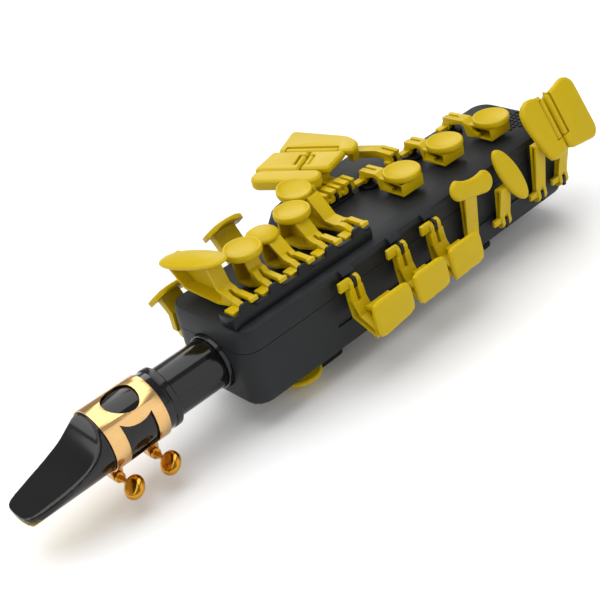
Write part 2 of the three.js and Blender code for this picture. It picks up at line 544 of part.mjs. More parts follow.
function ligatureSolid() {
  const l = ligature;
  const outer = l.inner + l.thick;
  const ends = [-l.from - l.length, -l.from];
  const band = turned([
    [ends[0], l.inner], [ends[0], outer], [ends[1], outer], [ends[1], l.inner], [ends[0], l.inner],
  ], facets.ring);
  const reach = outer + fit.overrun;
  const rim = l.eggShares.map(([along, out]) => [along * l.topLong, out * l.topWide]);
  const eggOutline = [...rim.map(([x, y]) => [x, -y]), ...rim.toReversed()];
  const egg = solid(new THREE.ExtrudeGeometry(shapeOf(eggOutline), plain(reach - l.inner / 2)).translate(0, 0, l.inner / 2)
    .rotateX(THREE.MathUtils.degToRad(l.roll)).translate(-l.topAt, axis.y, axis.z));
  const windows = [-1, 1].map((side) => prismY(l.windowPoints, ...[side * l.inner / 2, side * reach].sort((a, b) => a - b)));
  const slit = block(ends[0] - fit.overrun, ends[1] + fit.overrun, -l.slit / 2, l.slit / 2, axis.z - reach, axis.z);
  const lugs = screwPlaces().flatMap(([x, lugZ]) => [-1, 1].flatMap((side) => {
    const span = [side * l.slit / 2, side * (l.slit / 2 + l.lugLong)].sort((a, b) => a - b);
    return [
      rodY(x, lugZ, l.lug, span[0], span[1]),
      block(x - l.lug, x + l.lug, span[0], span[1], lugZ, axis.z - l.inner + l.thick),
    ];
  }));
  const bores = screwPlaces().map(([x, lugZ]) => rodY(x, lugZ, l.lugHole, -l.lugLong - l.slit, l.lugLong + l.slit));
  const inside = rodX(axis.y, axis.z, l.inner, ends[0] - fit.overrun, ends[1] + fit.overrun, facets.ring);
  return cut(join(cut(band, egg, windows, slit), cut(join(lugs), inside)), bores);
}

function screwPlaces() {
  const first = -ligature.from - ligature.screwAt;
  const z = axis.z - ligature.lugDrop;
  return [[first, z], [first - ligature.screwPitch, z + ligature.screwRise]];
}

function thumbScrewSolid([x, z]) {
  const s = thumbScrew;
  const lugEnd = ligature.slit / 2 + ligature.lugLong;
  const face = -lugEnd - fit.seat;
  const half = s.headThick / 2;
  const profile = [[0, -half], [s.face, -half], [s.head, -half / 2], [s.head, half / 2], [s.face, half], [0, half]];
  const plate = new THREE.LatheGeometry(profile.map(([a, b]) => new THREE.Vector2(a, b)), facets.pad).rotateZ(Math.PI / 2);
  return join(
    rodY(x, z, s.shank, face - s.collarLong / 2, lugEnd + s.shank),
    rodY(x, z, s.collar, face - s.collarLong, face),
    rodY(x, z, s.neck, -s.headAt, face - s.collarLong / 2),
    solid(plate.rotateY(Math.PI / 4).translate(x, -s.headAt, z)),
  );
}

function collarSolid() {
  const c = collar;
  const inside = housing.wall + fit.seat;
  const seat = mouthpiece.inserted + fit.seat;
  return turned([
    [-c.proud, c.inner], [-c.proud, c.outer], [inside, c.outer], [inside, c.flange], [inside + c.flangeThick, c.flange],
    [inside + c.flangeThick, c.outer], [c.depth, c.outer], [c.depth, c.outlet], [seat, c.outlet], [seat, c.inner],
    [-c.proud, c.inner],
  ]);
}

// Comb rail and its levers.
function railSolid() {
  const r = rail;
  const bar = [
    [r.front, top + fit.seat], [r.back, top + fit.seat], [r.back, top + r.blockTop],
    [r.front + r.chamfer, top + r.blockTop], [r.front, top + r.blockTop - r.chamfer],
  ];
  const hoods = railKeys.map((key, place) => prismY(
    r.hoodPoints.map(([x, lift]) => [x + place * r.pitch, top + lift]), r.front, r.front + r.hoodThick,
  ));
  const slots = railKeys.flatMap((key, place) => {
    const start = r.slotFrom + place * r.pitch;
    return [
      block(start, start + r.slot, r.front + r.hoodThick, r.back + fit.overrun, top + r.base, top + r.blockTop + fit.overrun),
      rodX(r.hingeY, top + r.hingeUp, hinge.pin + fit.pin, start - r.bore, start + r.slot + r.bore, facets.pin),
    ];
  });
  return cut(join(prismX(bar, r.from, r.to), hoods), slots);
}

function railLever(key, place) {
  const shift = place * rail.pitch;
  const at = ([reach, lift]) => [rail.hingeY + reach, top + lift];
  const knee = [key.kneeFrom, key.kneeLift];
  const outline = [
    [lever.armFoot, lever.footHigh - hinge.wall], [key.skirtFrom, key.skirtLift], [key.skirtTo, key.skirtLift],
    [key.backTo, key.backLift], [key.backTo, key.seatLift - (key.seatDrop ?? 0)], [key.webFrom, key.seatLift], knee,
    [(lever.armFoot + key.kneeFrom) / 2, key.neckLift], [lever.armFoot, lever.fingerTop],
  ];
  const [x0, x1] = [shift + lever.armFrom, shift + lever.armTo];
  const slotStart = shift + rail.slotFrom;
  const foot = [slotStart + lever.footSide, slotStart + rail.slot - lever.footSide];
  const pocket = prismX(insetOutline(outline.map(at), hinge.wall), x0 - fit.overrun, x1 - hinge.wall).intersect(block(
    x0 - 2 * fit.overrun, x1, rail.hingeY + lever.pocketFrom, left + wing.reach, 0, top + top,
  ));
  const slot = block(
    shift + lever.slotFrom, shift + lever.slotTo, rail.hingeY, rail.hingeY + lever.pocketFrom - hinge.wall, top, top + top,
  );
  const body = join(
    cut(prismX(outline.map(at), x0, x1), pocket, slot),
    prismX([
      [lever.footFrom, lever.footLow], [lever.footTo, lever.footLow], [lever.footTo, lever.footHigh],
      [lever.footFrom, lever.footHigh],
    ].map(at), foot[0], foot[1]),
    prismX([
      [lever.fingerTip, lever.fingerDrop], [lever.armFoot + fit.overrun, lever.fingerDrop],
      [lever.armFoot + fit.overrun, lever.fingerTop], [lever.footTo, lever.fingerTop], [lever.fingerTip, lever.footHigh],
    ].map(at), x0, shift + lever.slotFrom),
    prismX([
      [lever.prongReach, lever.prongLow], [lever.armFoot + fit.overrun, lever.prongLow],
      [lever.armFoot + fit.overrun, lever.fingerTop], [lever.armFoot, lever.prongHigh], [lever.prongReach, lever.prongHigh],
    ].map(at), shift + lever.slotTo, x1),
    prismX([
      [lever.prongReach, lever.prongLow], [lever.tipFrom, lever.prongLow], [lever.tipFrom, lever.prongHigh],
      [lever.prongReach, lever.prongHigh],
    ].map(at), shift + lever.slotTo - lever.tipOut, x1 + lever.tipOut),
    rodX(rail.hingeY, top + rail.hingeUp, hinge.pin, foot[0] - lever.pinLong, foot[1] + lever.pinLong, facets.pin),
  );
  return body.add(touch(key.touch));
}

// Right-hand stack.
function stackKey(key) {
  const s = stack;
  const at = ([reach, lift]) => [s.hingeY - reach, top + lift];
  const box = [[key.from, s.boxLift], [key.to, s.boxLift], [key.to, s.boxTop], [key.from, s.boxTop]].map(at);
  const half = hinge.lug / 2 + fit.run + hinge.tab;
  const knee = s.kneeShares.map(([along, lift]) => [key.from + (key.to - key.from) * along, lift]);
  const last = knee[knee.length - 1];
  const arm = [
    [s.armBack, s.armUnder], [s.armBack, s.armTop], ...knee, [last[0], last[1] - hinge.wall],
    [key.from + hinge.wall, s.boxLift], [key.from, s.boxLift], [key.from - hinge.wall, s.boxTop - hinge.wall],
    [key.from - hinge.armDeep, s.under], [hinge.lobe + fit.run, s.armUnder - hinge.wall], [hinge.lobe, s.armUnder],
  ].map(at);
  const [x0, x1] = [key.padX - s.wide / 2, key.padX + s.wide / 2];
  const pocket = prismX(insetOutline(box, hinge.wall), x0 - fit.overrun, x1 - hinge.wall);
  const pad = touchGeometry("dished", s.radius, s.padThick)
    .translate(key.padX, s.hingeY - key.padReach, top + s.boxTop + s.padThick - s.padBite);
  const lugRoom = block(
    key.x - hinge.lug / 2 - fit.run, key.x + hinge.lug / 2 + fit.run, s.hingeY - hinge.lobe - fit.run, left,
    top, top + s.hingeUp + hinge.lobe + fit.run,
  );
  const forkSlot = block(
    key.x, key.x + s.forkSlot, s.hingeY - s.forkLong, left, top + s.armUnder - hinge.wall, top + s.crest + fit.overrun,
  );
  const outer = key.x - half;
  const hook = prismX([
    [-hinge.lobe, s.hingeUp - hinge.lobe / 2], [hinge.lobe / 2, s.hingeUp - hinge.lobe / 2],
    [hinge.lobe / 2, s.hingeUp - hinge.lobe / 2 + hinge.hookThick], [-hinge.lobe, s.hingeUp - hinge.lobe / 2 + hinge.hookThick],
  ].map(at), outer - hinge.hookLong, outer + hinge.tab / 2);
  return join(
    cut(prismX(box, x0, x1), pocket), solid(pad), hook,
    cut(prismX(arm, key.x - half, key.x + half), lugRoom, forkSlot),
    forkEnd(s.hingeY, top + s.hingeUp, key.x, [[hinge.lobe, s.armUnder], [-hinge.lobe / 2, s.armUnder]].map(at)),
  );
}

function postSolid(y, up, places, base) {
  const foot = top + fit.seat;
  const lugs = places.map((x) => prismX([
    [y - hinge.lobe, foot], [y + hinge.lobe, foot], [y + hinge.lobe, top + up + hinge.lobe / 2],
    [y + hinge.lobe / 2, top + up + hinge.lobe], [y - hinge.lobe / 2, top + up + hinge.lobe],
    [y - hinge.lobe, top + up + hinge.lobe / 2],
  ], x - hinge.lug / 2, x + hinge.lug / 2));
  const bores = places.map((x) => lugBore(y, top + up, x));
  return cut(join(base, lugs), bores);
}

// Side keys.
function sideKey(key) {
  const s = sideHinge;
  const at = ([drop, out]) => [right - out, s.z - drop];
  const t = sideTouch;
  const outline = [
    [hinge.lobe, s.out - hinge.lobe / 2], [s.waistDrop, s.armOut - hinge.wall], [s.footDrop, s.armOut],
    [s.z - key.low, t.out - t.thick], [s.z - key.low - s.web, t.out - t.thick],
    [s.footDrop - s.footRise, s.armOut + s.footRise * 2], [s.waistDrop + s.footRise, s.armOut + s.footRise + hinge.wall],
    [s.waistDrop, s.armOut + s.footRise], [hinge.lobe, s.out + hinge.lobe],
  ].map(at);
  const half = key.armWide / 2;
  const [x0, x1] = [key.x - half, key.x + half];
  const pocket = prismX(insetOutline(outline, hinge.wall * s.shelfShare), x0 - fit.overrun, x1 - hinge.wall).intersect(block(
    x0 - 2 * fit.overrun, x1, right - t.out, right, 0, s.z - s.waistDrop,
  ));
  const plate = slabGeometry(roundedPolygon([
    [key.from, key.low - key.drop], [key.to, key.low], [key.to, t.high], [key.from, t.high],
  ], t.round), 0, t.thick, t.thick * t.edgeShare, 1, 2).rotateX(Math.PI / 2);
  plate.translate(0, -t.out + t.thick, -key.low).rotateX(-t.lean).translate(0, right, key.low);
  const shelf = block(
    key.x, key.from + (key.to - key.from) * s.shelfShare, right - t.out + t.thick / 2, right - s.armOut - s.footRise * 2,
    s.shelfTop - s.shelfThick, s.shelfTop,
  );
  const tab = hinge.lug / 2 + fit.run;
  const root = [[hinge.lobe * 2, s.out - hinge.lobe / 2], [hinge.lobe * 2, s.out + hinge.lobe]].map(at);
  const gap = block(key.x - tab, key.x + tab, right - t.out, right, s.z - hinge.lobe - fit.run, s.z + hinge.lobe * 2);
  const forkSlot = block(
    key.x - s.slot / 2, key.x + s.slot / 2, right - t.out, right, s.z - s.slotDrop, s.z,
  );
  return join(cut(prismX(outline, x0, x1), pocket, gap, forkSlot), shelf, solid(plate), forkEnd(right - s.out, s.z, key.x, root),
    flankHook(key.x, s.z + s.hookLow, s.z + s.hookUp));
}

// The flat tab that turns from the near finger of a flank key towards the mouthpiece.
function flankHook(x, low, high) {
  const outer = x - hinge.lug / 2 - fit.run - hinge.tab;
  const y = right - sideHinge.out - hinge.hookThick;
  return block(outer - hinge.hookLong, outer + hinge.tab / 2, y, y + hinge.hookThick, low, high);
}

// Keys hinged along the lower edge.
function lowArm(x, wide, armTop, topOut) {
  const s = lowHinge;
  const at = ([rise, out]) => [right - out, s.z + rise];
  const outline = [
    [hinge.lobe + fit.run, s.armIn], [armTop - s.z, topOut - hinge.armDeep], [armTop - s.z, topOut],
    [hinge.lobe + fit.run, s.armOut - hinge.wall],
  ].map(at);
  const [x0, x1] = [x - wide / 2, x + wide / 2];
  const pocket = prismX(insetOutline(outline, hinge.wall * hinge.wallShare), x0 - fit.overrun, x1 - hinge.wall);
  const root = [[s.footRise, s.armIn + fit.seat], [s.footRise, s.armOut - hinge.wall]].map(at);
  return join(cut(prismX(outline, x0, x1), pocket), forkEnd(right - s.out, s.z, x, root),
    flankHook(x, s.z + s.hookLow, s.z + s.hookHigh));
}

// A plate drawn in [x, up the slope] and leaned outwards at its foot.
function leaned(geometry, lean, z, out) {
  return solid(geometry.translate(0, -z, 0).rotateX(Math.PI / 2 - lean).translate(0, right - out, z));
}

const backOut = (key, z) => key.out + Math.tan(tall.lean) * (key.z - z);

function kidneyKey() {
  const k = kidney;
  const half = k.apart / 2;
  const shape = new THREE.Shape();
  const tiltBack = Math.atan2(k.rise, k.apart);
  shape.absarc(k.padX - half, k.z - k.rise / 2, k.lobeA, Math.PI / 2 - tiltBack, 1.5 * Math.PI + tiltBack);
  shape.absarc(k.padX + half, k.z + k.rise / 2, k.lobeB, -Math.PI / 2 + tiltBack, Math.PI / 2 + tiltBack);
  shape.quadraticCurveTo(k.padX, k.z + k.waist, k.padX - half, k.z - k.rise / 2 + k.lobeA);
  const pad = slabGeometry(shape, 0, k.thick, k.thick * tall.rimShare, 1, 6);
  return join(lowArm(k.x, k.wide, k.armTop, backOut(k, k.armTop) + tall.bite), leaned(pad, tall.lean, k.z, k.out));
}

function ovalKey() {
  const k = oval;
  const shape = new THREE.Shape();
  shape.absellipse(k.padX, k.z, k.side, k.half, 0, 2 * Math.PI, false, k.turn);
  const pad = slabGeometry(shape, 0, k.thick, k.thick * tall.rimShare, 1, 12);
  return join(lowArm(k.x, k.wide, k.armTop, backOut(k, k.armTop) + tall.bite), leaned(pad, tall.lean, k.z, k.out));
}

function littleFrame(geometry) {
  const { y, z, turnX, turnZ } = littlePlate;
  const pivot = upSlope(turnZ);
  geometry.translate(-turnX, -pivot, 0).rotateZ(THREE.MathUtils.degToRad(littlePlate.turn)).translate(turnX, pivot, 0);
  return geometry.translate(0, -z, -tall.plateThick).rotateX(Math.PI / 2 - Math.atan(tall.plateLean)).translate(0, y, z);
}

const slope = Math.hypot(1, tall.plateLean);
const littleBack = (z) => right - littlePlate.y - tall.plateLean * (z - littlePlate.z) - tall.plateThick * slope;
const upSlope = (z) => littlePlate.z + (z - littlePlate.z) * slope;

function roundedPolygon(points, radius) {
  const shape = new THREE.Shape();
  points.forEach(([x, y], i) => {
    const [px, py] = points[(i + points.length - 1) % points.length];
    const [nx, ny] = points[(i + 1) % points.length];
    const before = Math.hypot(px - x, py - y);
    const after = Math.hypot(nx - x, ny - y);
    const cutBack = Math.min(radius, before * fit.cornerShare, after * fit.cornerShare);
    const start = [x + (px - x) * cutBack / before, y + (py - y) * cutBack / before];
    const end = [x + (nx - x) * cutBack / after, y + (ny - y) * cutBack / after];
    if (i === 0) shape.moveTo(...start);
    else shape.lineTo(...start);
    shape.quadraticCurveTo(x, y, ...end);
  });
  shape.closePath();
  return shape;
}

function littlePlateSolid(points, notchX, side) {
  const p = littlePlate;
  const plate = slabGeometry(roundedPolygon(points, tall.plateThick), 0, tall.plateThick, tall.edge, 1, 2);
  const from = upSlope(littleLeft.low) + p.rollerFrom / 2 - fit.run;
  const notch = new THREE.BoxGeometry(p.notch * 2, p.rollerLong + 2 * fit.run, tall.plateThick * 3)
    .translate(notchX + side * p.notch, from + fit.run + p.rollerLong / 2, 0);
  return { plate: solid(littleFrame(plate)), notch: solid(littleFrame(notch)) };
}

function littleRoller(x) {
  const p = littlePlate;
  const from = upSlope(littleLeft.low) + p.rollerFrom / 2;
  const rod = new THREE.CylinderGeometry(p.roller, p.roller, p.rollerLong, facets.lobe)
    .translate(x, from + p.rollerLong / 2, tall.plateThick / 2);
  const pin = new THREE.CylinderGeometry(p.pin, p.pin, p.rollerLong + 2 * p.roller, facets.pin)
    .translate(x, from + p.rollerLong / 2, tall.plateThick / 2);
  return join(solid(littleFrame(rod)), solid(littleFrame(pin)));
}

function littlePinBore(x) {
  const p = littlePlate;
  const from = upSlope(littleLeft.low) + p.rollerFrom / 2;
  const radius = p.pin + fit.pin;
  return solid(littleFrame(new THREE.CylinderGeometry(radius, radius, p.rollerLong + 2 * p.roller + 2 * fit.pin, facets.pin)
    .translate(x, from + p.rollerLong / 2, tall.plateThick / 2)));
}

const littleRollerX = {
  left: littleLeft.topTo - littlePlate.roller - littlePlate.edge, right: littleRight.lowFrom + littlePlate.roller + littlePlate.edge,
};

function littleLeftKey() {
  const k = littleLeft;
  const middle = (k.low + k.high) / 2;
  const points = [
    [k.lowFrom, upSlope(k.low)], [k.lowTo, upSlope(k.low)], [k.topTo, upSlope(middle)], [k.topTo, upSlope(k.high - tall.plateThick)],
    [k.topFrom, upSlope(k.high)], [k.midFrom, upSlope(k.high - tall.plateThick)], [k.midFrom, upSlope(middle + tall.plateThick)],
  ];
  const { plate, notch } = littlePlateSolid(points, littleRollerX.left - littlePlate.roller - fit.run, 1);
  return join(lowArm(k.x, k.wide, k.armTop, littleBack(k.armTop) + tall.bite),
    cut(plate, notch, littlePinBore(littleRollerX.left)));
}

function littleRightKey() {
  const k = littleRight;
  const points = [
    [k.lowFrom, upSlope(k.low + tall.plateThick)], [k.lowTo, upSlope(k.low)], [k.sideTo, upSlope(k.low + tall.plateThick)],
    [k.peakTo, upSlope(k.high - tall.plateThick)], [k.peak, upSlope(k.high)], [k.topMid, upSlope(k.high - tall.edge * 2)],
    [k.lowFrom, upSlope(k.high - tall.edge * 2)],
  ];
  const { plate, notch } = littlePlateSolid(points, littleRollerX.right + littlePlate.roller + fit.run, -1);
  return join(lowArm(k.x, k.wide, k.armTop, littleBack(k.armTop) + tall.bite),
    cut(plate, notch, littlePinBore(littleRollerX.right)));
}

// Left little-finger table.
const tableMatrix = new THREE.Matrix4().makeTranslation(table.x, table.y, top + table.lift)
  .multiply(new THREE.Matrix4().makeRotationZ(THREE.MathUtils.degToRad(table.turn)));

function tablePoint(p, q) {
  const point = new THREE.Vector3(p, q, 0).applyMatrix4(tableMatrix);
  return [point.x, point.y];
}

function tablePlate(points, round, thick) {
  const slab = slabGeometry(roundedPolygon(points, round), -thick, 0, table.edge, 1, 2);
  return solid(slab.applyMatrix4(tableMatrix));
}

// The room under the long bar, open below.
function barRoom(points) {
  const t = table;
  const pocket = new THREE.ExtrudeGeometry(
    roundedPolygon(insetOutline(points, t.wall), t.wall), { ...plain(t.barThick), curveSegments: 1 },
  ).translate(0, 0, -t.barThick - t.wall);
  return solid(pocket.applyMatrix4(tableMatrix));
}

// An arm that leaves its forked end high, runs level and reaches up to the underside of a plate.
function tableArm(x, reachTo, plateTop) {
  const t = table;
  const at = ([reach, lift]) => [t.hingeY + reach, top + lift];
  const knee = hinge.lobe * 2;
  const shoulder = Math.min(knee * 2, reachTo - knee - fit.run);
  const outline = [
    [-hinge.lobe, t.armHigh - hinge.wall], [hinge.lobe, t.armHigh - hinge.wall], [knee, t.armLow], [reachTo, t.armLow],
    [reachTo, plateTop], [reachTo - knee, plateTop], [reachTo - knee, t.armFlat], [shoulder, t.armFlat],
    [Math.min(knee, shoulder - fit.run), t.armHigh], [-hinge.lobe, t.armHigh],
  ].map(at);
  const wide = hinge.lug + 2 * (fit.run + hinge.tab);
  return join(cut(prismX(outline, x - wide / 2, x + wide / 2), tableForkSlot(x)), tableFork(x));
}

function tableForkSlot(x) {
  const t = table;
  return [
    block(x, x + t.forkSlot, t.hingeY - t.forkLong, t.hingeY + t.forkLong, top + t.hingeUp, top + top),
    block(x - hinge.lug / 2 - fit.run, x + hinge.lug / 2 + fit.run, t.hingeY - t.forkLong,
      t.hingeY + hinge.lobe + fit.run, top, top + t.hingeUp + hinge.lobe + fit.run),
  ];
}

function tableFork(x) {
  const t = table;
  const at = ([reach, lift]) => [t.hingeY + reach, top + lift];
  const root = [[-hinge.lobe / 2, t.armHigh - hinge.wall / 2], [hinge.lobe, t.armHigh - hinge.wall / 2]].map(at);
  const outer = x - hinge.lug / 2 - fit.run - hinge.tab;
  return [forkEnd(t.hingeY, top + t.hingeUp, x, root), prismX([
    [-hinge.lobe, t.hingeUp - hinge.lobe / 2], [hinge.lobe / 2, t.hingeUp - hinge.lobe / 2],
    [hinge.lobe / 2, t.hingeUp - hinge.lobe / 2 + hinge.hookThick], [-hinge.lobe, t.hingeUp - hinge.lobe / 2 + hinge.hookThick],
  ].map(at), outer - t.hookLong, outer + hinge.tab / 2)].flat();
}

const tableHinges = { gSharp: 83.8, cSharp: 92, lowB: 100.2, lowBFlat: 130 };

function rollerAt(from, to, radius, axisPoint, turnAlong) {
  const long = to - from;
  const build = (r, l) => {
    const geometry = new THREE.CylinderGeometry(r, r, l, facets.lobe);
    if (turnAlong === "p") geometry.rotateZ(Math.PI / 2).translate((from + to) / 2, axisPoint, 0);
    else geometry.translate(axisPoint, (from + to) / 2, 0);
    return solid(geometry.translate(0, 0, -radius - table.rollerGap / 2).applyMatrix4(tableMatrix));
  };
  return {
    roller: join(build(radius, long), build(table.pin, long + 2 * radius)),
    bore: build(table.pin + fit.pin, long + 2 * radius + 2 * fit.pin),
  };
}

function tableNotch(p0, p1, q0, q1) {
  const geometry = new THREE.BoxGeometry(p1 - p0, q1 - q0, table.thick * 3)
    .translate((p0 + p1) / 2, (q0 + q1) / 2, 0);
  return solid(geometry.applyMatrix4(tableMatrix));
}

function tableKeys() {
  const t = table;
  const { gSharp, cSharp, lowB, lowBFlat } = tablePlates;
  const half = t.roller + fit.run;
  const bite = t.lift - t.thick + t.bite;
  const short = [cSharp.near + half * 2, cSharp.far - half * 2];
  const rollerC = rollerAt(short[0], short[1], t.roller, cSharp.to - t.roller, "q");
  const rollerB = rollerAt(short[0], short[1], t.roller, lowB.from + t.roller, "q");
  const long = [lowBFlat.from + half * 2, lowBFlat.to - half * 4];
  const rollerFlat = rollerAt(long[0], long[1], t.roller, lowBFlat.near + t.roller, "p");
  const notchShort = (p0, p1) => tableNotch(p0, p1, short[0] - fit.run, short[1] + fit.run);

  const bar = [
    [gSharp.from, gSharp.near + gSharp.end], [gSharp.from + gSharp.end, gSharp.near], [gSharp.to - gSharp.end, gSharp.near],
    [gSharp.to, gSharp.near + gSharp.end], [gSharp.to, gSharp.far - gSharp.end], [gSharp.to - gSharp.end, gSharp.far],
    [gSharp.from + gSharp.end, gSharp.far], [gSharp.from, gSharp.far - gSharp.end],
  ];
  const gPlate = cut(tablePlate(bar, gSharp.round, t.barThick), barRoom(bar));
  const cPlate = cut(
    tablePlate([
      [cSharp.from - cSharp.skew, cSharp.near], [cSharp.to, cSharp.near], [cSharp.to, cSharp.far],
      [cSharp.from + cSharp.skew, cSharp.far],
    ], cSharp.round, t.thick),
    notchShort(cSharp.to - t.roller - half, cSharp.to + fit.overrun), rollerC.bore,
  );
  const bPlate = cut(
    tablePlate([
      [lowB.from, lowB.near], [lowB.to - lowB.skew, lowB.near], [lowB.to + lowB.skew, lowB.far], [lowB.from, lowB.far],
    ], lowB.round, t.thick),
    notchShort(lowB.from - fit.overrun, lowB.from + t.roller + half), rollerB.bore,
  );
  const flatPlate = cut(
    tablePlate([
      [lowBFlat.from, lowBFlat.near], [lowBFlat.to, lowBFlat.near], [lowBFlat.to, lowBFlat.near + lowBFlat.nose],
      [lowBFlat.to - lowBFlat.skew, lowBFlat.far - lowBFlat.skew], [lowBFlat.from, lowBFlat.far],
    ], lowBFlat.round, t.thick),
    tableNotch(long[0] - fit.run, long[1] + fit.run, lowBFlat.near - fit.overrun, lowBFlat.near + t.roller + half),
    rollerFlat.bore,
  );
  const gEnd = tablePoint(gSharp.to - half * 2, 0);
  const cEnd = tablePoint((cSharp.from + cSharp.to) / 2, (cSharp.near + cSharp.far) / 2);
  const bEnd = tablePoint((lowB.from + lowB.to) / 2, lowB.far - half * 2);
  const flatEnd = tablePoint(lowBFlat.to - half * 2, lowBFlat.near + lowBFlat.nose);
  const armWide = hinge.lug + 2 * (fit.run + hinge.tab);
  const root = { x: tableHinges.lowBFlat - armWide / 2, y: t.hingeY - hinge.lobe };
  const bend = { x: (flatEnd[0] * 2 + root.x) / 3, y: flatEnd[1] };
  const sweep = prismZ([
    [root.x, root.y], [root.x + armWide, root.y], [root.x + armWide, root.y + t.bandWide + hinge.lobe * 2],
    [bend.x + t.bandWide, bend.y + half], [flatEnd[0] - half, bend.y + half], [flatEnd[0] - half, bend.y - half],
    [bend.x, bend.y - half], [root.x, root.y + hinge.lobe * 4],
  ], top + t.armHigh - hinge.armDeep, top + t.armHigh);
  const flatPost = block(
    flatEnd[0] - half, flatEnd[0] + half, flatEnd[1] - half, flatEnd[1] + half, top + t.armHigh - hinge.wall, top + bite,
  );
  const rearX = tableHinges.lowBFlat;
  const footRoom = block(rearX - armWide, rearX + armWide, root.y - half, t.hingeY + hinge.lobe, top, top + t.armHigh - hinge.wall);
  return {
    gSharp: join(gPlate, tableArm(tableHinges.gSharp, gEnd[1] - t.hingeY, t.lift - t.wall * 2)),
    cSharp: join(cPlate, tableArm(tableHinges.cSharp, cEnd[1] - t.hingeY, bite)),
    lowB: join(bPlate, tableArm(tableHinges.lowB, bEnd[1] - t.hingeY, bite)),
    lowBFlat: join(flatPlate, cut(sweep, footRoom, tableForkSlot(rearX)), flatPost, tableFork(rearX)),
    rollerC: rollerC.roller, rollerB: rollerB.roller, rollerFlat: rollerFlat.roller,
  };
}

// Palm keys.
function palmKey(key) {
  const p = palm;
  const y0 = left + p.out;
  const bendZ = p.z + p.bend;
  const outline = [
    [left + p.armIn, p.z + hinge.lobe], [left + p.armIn, bendZ], [key.y - p.neck, key.z - p.neck],
    [key.y + p.armOut - p.armIn, key.z - p.neck - p.neck], [left + p.armOut, bendZ - p.neck], [left + p.armOut, p.z + hinge.lobe],
  ];
  const stem = prismX(outline, key.x - key.stem / 2, key.x + key.stem / 2);
  const root = [[left + p.armIn, p.z + hinge.lobe * 2], [left + p.armOut, p.z + hinge.lobe * 2]];
  const gap = block(
    key.x - hinge.lug / 2 - fit.run, key.x + hinge.lug / 2 + fit.run, left, left + p.armOut + fit.overrun,
    p.z, p.z + hinge.lobe + fit.run,
  );
  const bow = new THREE.Shape();
  bow.moveTo(-key.half, -p.arch);
  bow.quadraticCurveTo(0, p.arch, key.half, -p.arch);
  bow.lineTo(key.half - p.thick / 2, -p.arch - p.thick * p.lipShare);
  bow.quadraticCurveTo(0, p.arch - p.thick, -key.half + p.thick / 2, -p.arch - p.thick * p.lipShare);
  bow.closePath();
  const plate = new THREE.ExtrudeGeometry(bow, {
    depth: p.side * 2 - p.thick * p.rimShare * 2, bevelEnabled: true, bevelThickness: p.thick * p.rimShare,
    bevelSize: p.thick * p.faceShare,
    bevelOffset: -p.thick * p.faceShare, bevelSegments: 1, curveSegments: facets.bow,
  }).translate(0, 0, -p.side + p.thick * p.rimShare);
  plate.rotateX(Math.PI / 2).rotateX(-p.lean).translate(key.x, key.y, key.z);
  return join(cut(stem, gap), forkEnd(y0, p.z, key.x, root), solid(plate));
}

// Octave key.
function octaveKey() {
  const o = octave;
  const at = ([reach, drop]) => [o.hingeY - reach, -drop];
  const far = o.hingeY - o.y;
  const arm = prismX([
    [hinge.lobe + fit.run, o.under], [far + o.wide / 2, o.under], [far + o.wide / 2, -o.low - o.thick / 2],
    [far - o.wide / 2, -o.low - o.thick / 2], [far - o.wide, o.under + o.arm], [hinge.lobe + fit.run, o.under + o.arm],
  ].map(at), o.x - o.wide / 2, o.x + o.wide / 2);
  const root = [[hinge.lobe * 2, o.under], [hinge.lobe * 2, o.under + o.arm]].map(at);
  const disc = new THREE.LatheGeometry([
    [0, 0], [o.radius - o.thick * o.lowShare, 0], [o.radius, o.thick * o.lowShare], [o.radius, o.thick * (1 - o.rimShare)],
    [o.radius - o.thick * o.rimShare, o.thick], [0, o.thick],
  ].map(([a, b]) => new THREE.Vector2(a, b)), facets.pad).rotateX(Math.PI / 2).translate(o.x, o.y, o.low);
  return join(arm, solid(disc), forkEnd(o.hingeY, -o.hingeDrop, o.x, root));
}

// Underside pieces.
function restSolid() {
  const r = rest;
  const pad = slabGeometry(
    roundedRectangle(r.x - r.length / 2, r.x + r.length / 2, -r.wide / 2, r.wide / 2, r.pad), r.level, r.level + r.pad,
    r.pad * r.edgeShare, 1, 3,
  );
  return join(solid(pad), block(
    r.x - r.stem / 2, r.x + r.stem / 2, -r.stemWide / 2, r.stemWide / 2, r.level + r.pad / 2, -fit.seat,
  ));
}

function hookSolid() {
  const h = hook;
  const pad = slabGeometry(
    roundedRectangle(h.x - h.length / 2, h.x + h.length / 2, -h.wide / 2, h.wide / 2, h.thick), rest.level,
    rest.level + h.thick, h.thick * h.edgeShare, 1, 3,
  );
  return join(
    solid(pad),
    block(h.x - h.post / 2, h.x + h.post / 2, h.wide / 2 - h.postWide, h.wide / 2 - h.thick, rest.level + h.thick / 2, -fit.seat),
  );
}

function strapSolid() {
  const s = strap;
  const foot = block(s.x - s.foot / 2, s.x + s.foot / 2, -s.footWide / 2, s.footWide / 2, -fit.seat - s.footThick, -fit.seat);
  const [x0, x1] = [s.x - s.thick / 2, s.x + s.thick / 2];
  const neck = block(x0, x1, -s.outer, s.outer, -s.drop, -fit.seat - s.footThick / 2);
  return cut(
    join(foot, neck, rodX(0, -s.drop, s.outer, x0, x1, facets.pad)),
    rodX(0, -s.drop, s.inner, x0 - fit.overrun, x1 + fit.overrun, facets.pad),
  );
}

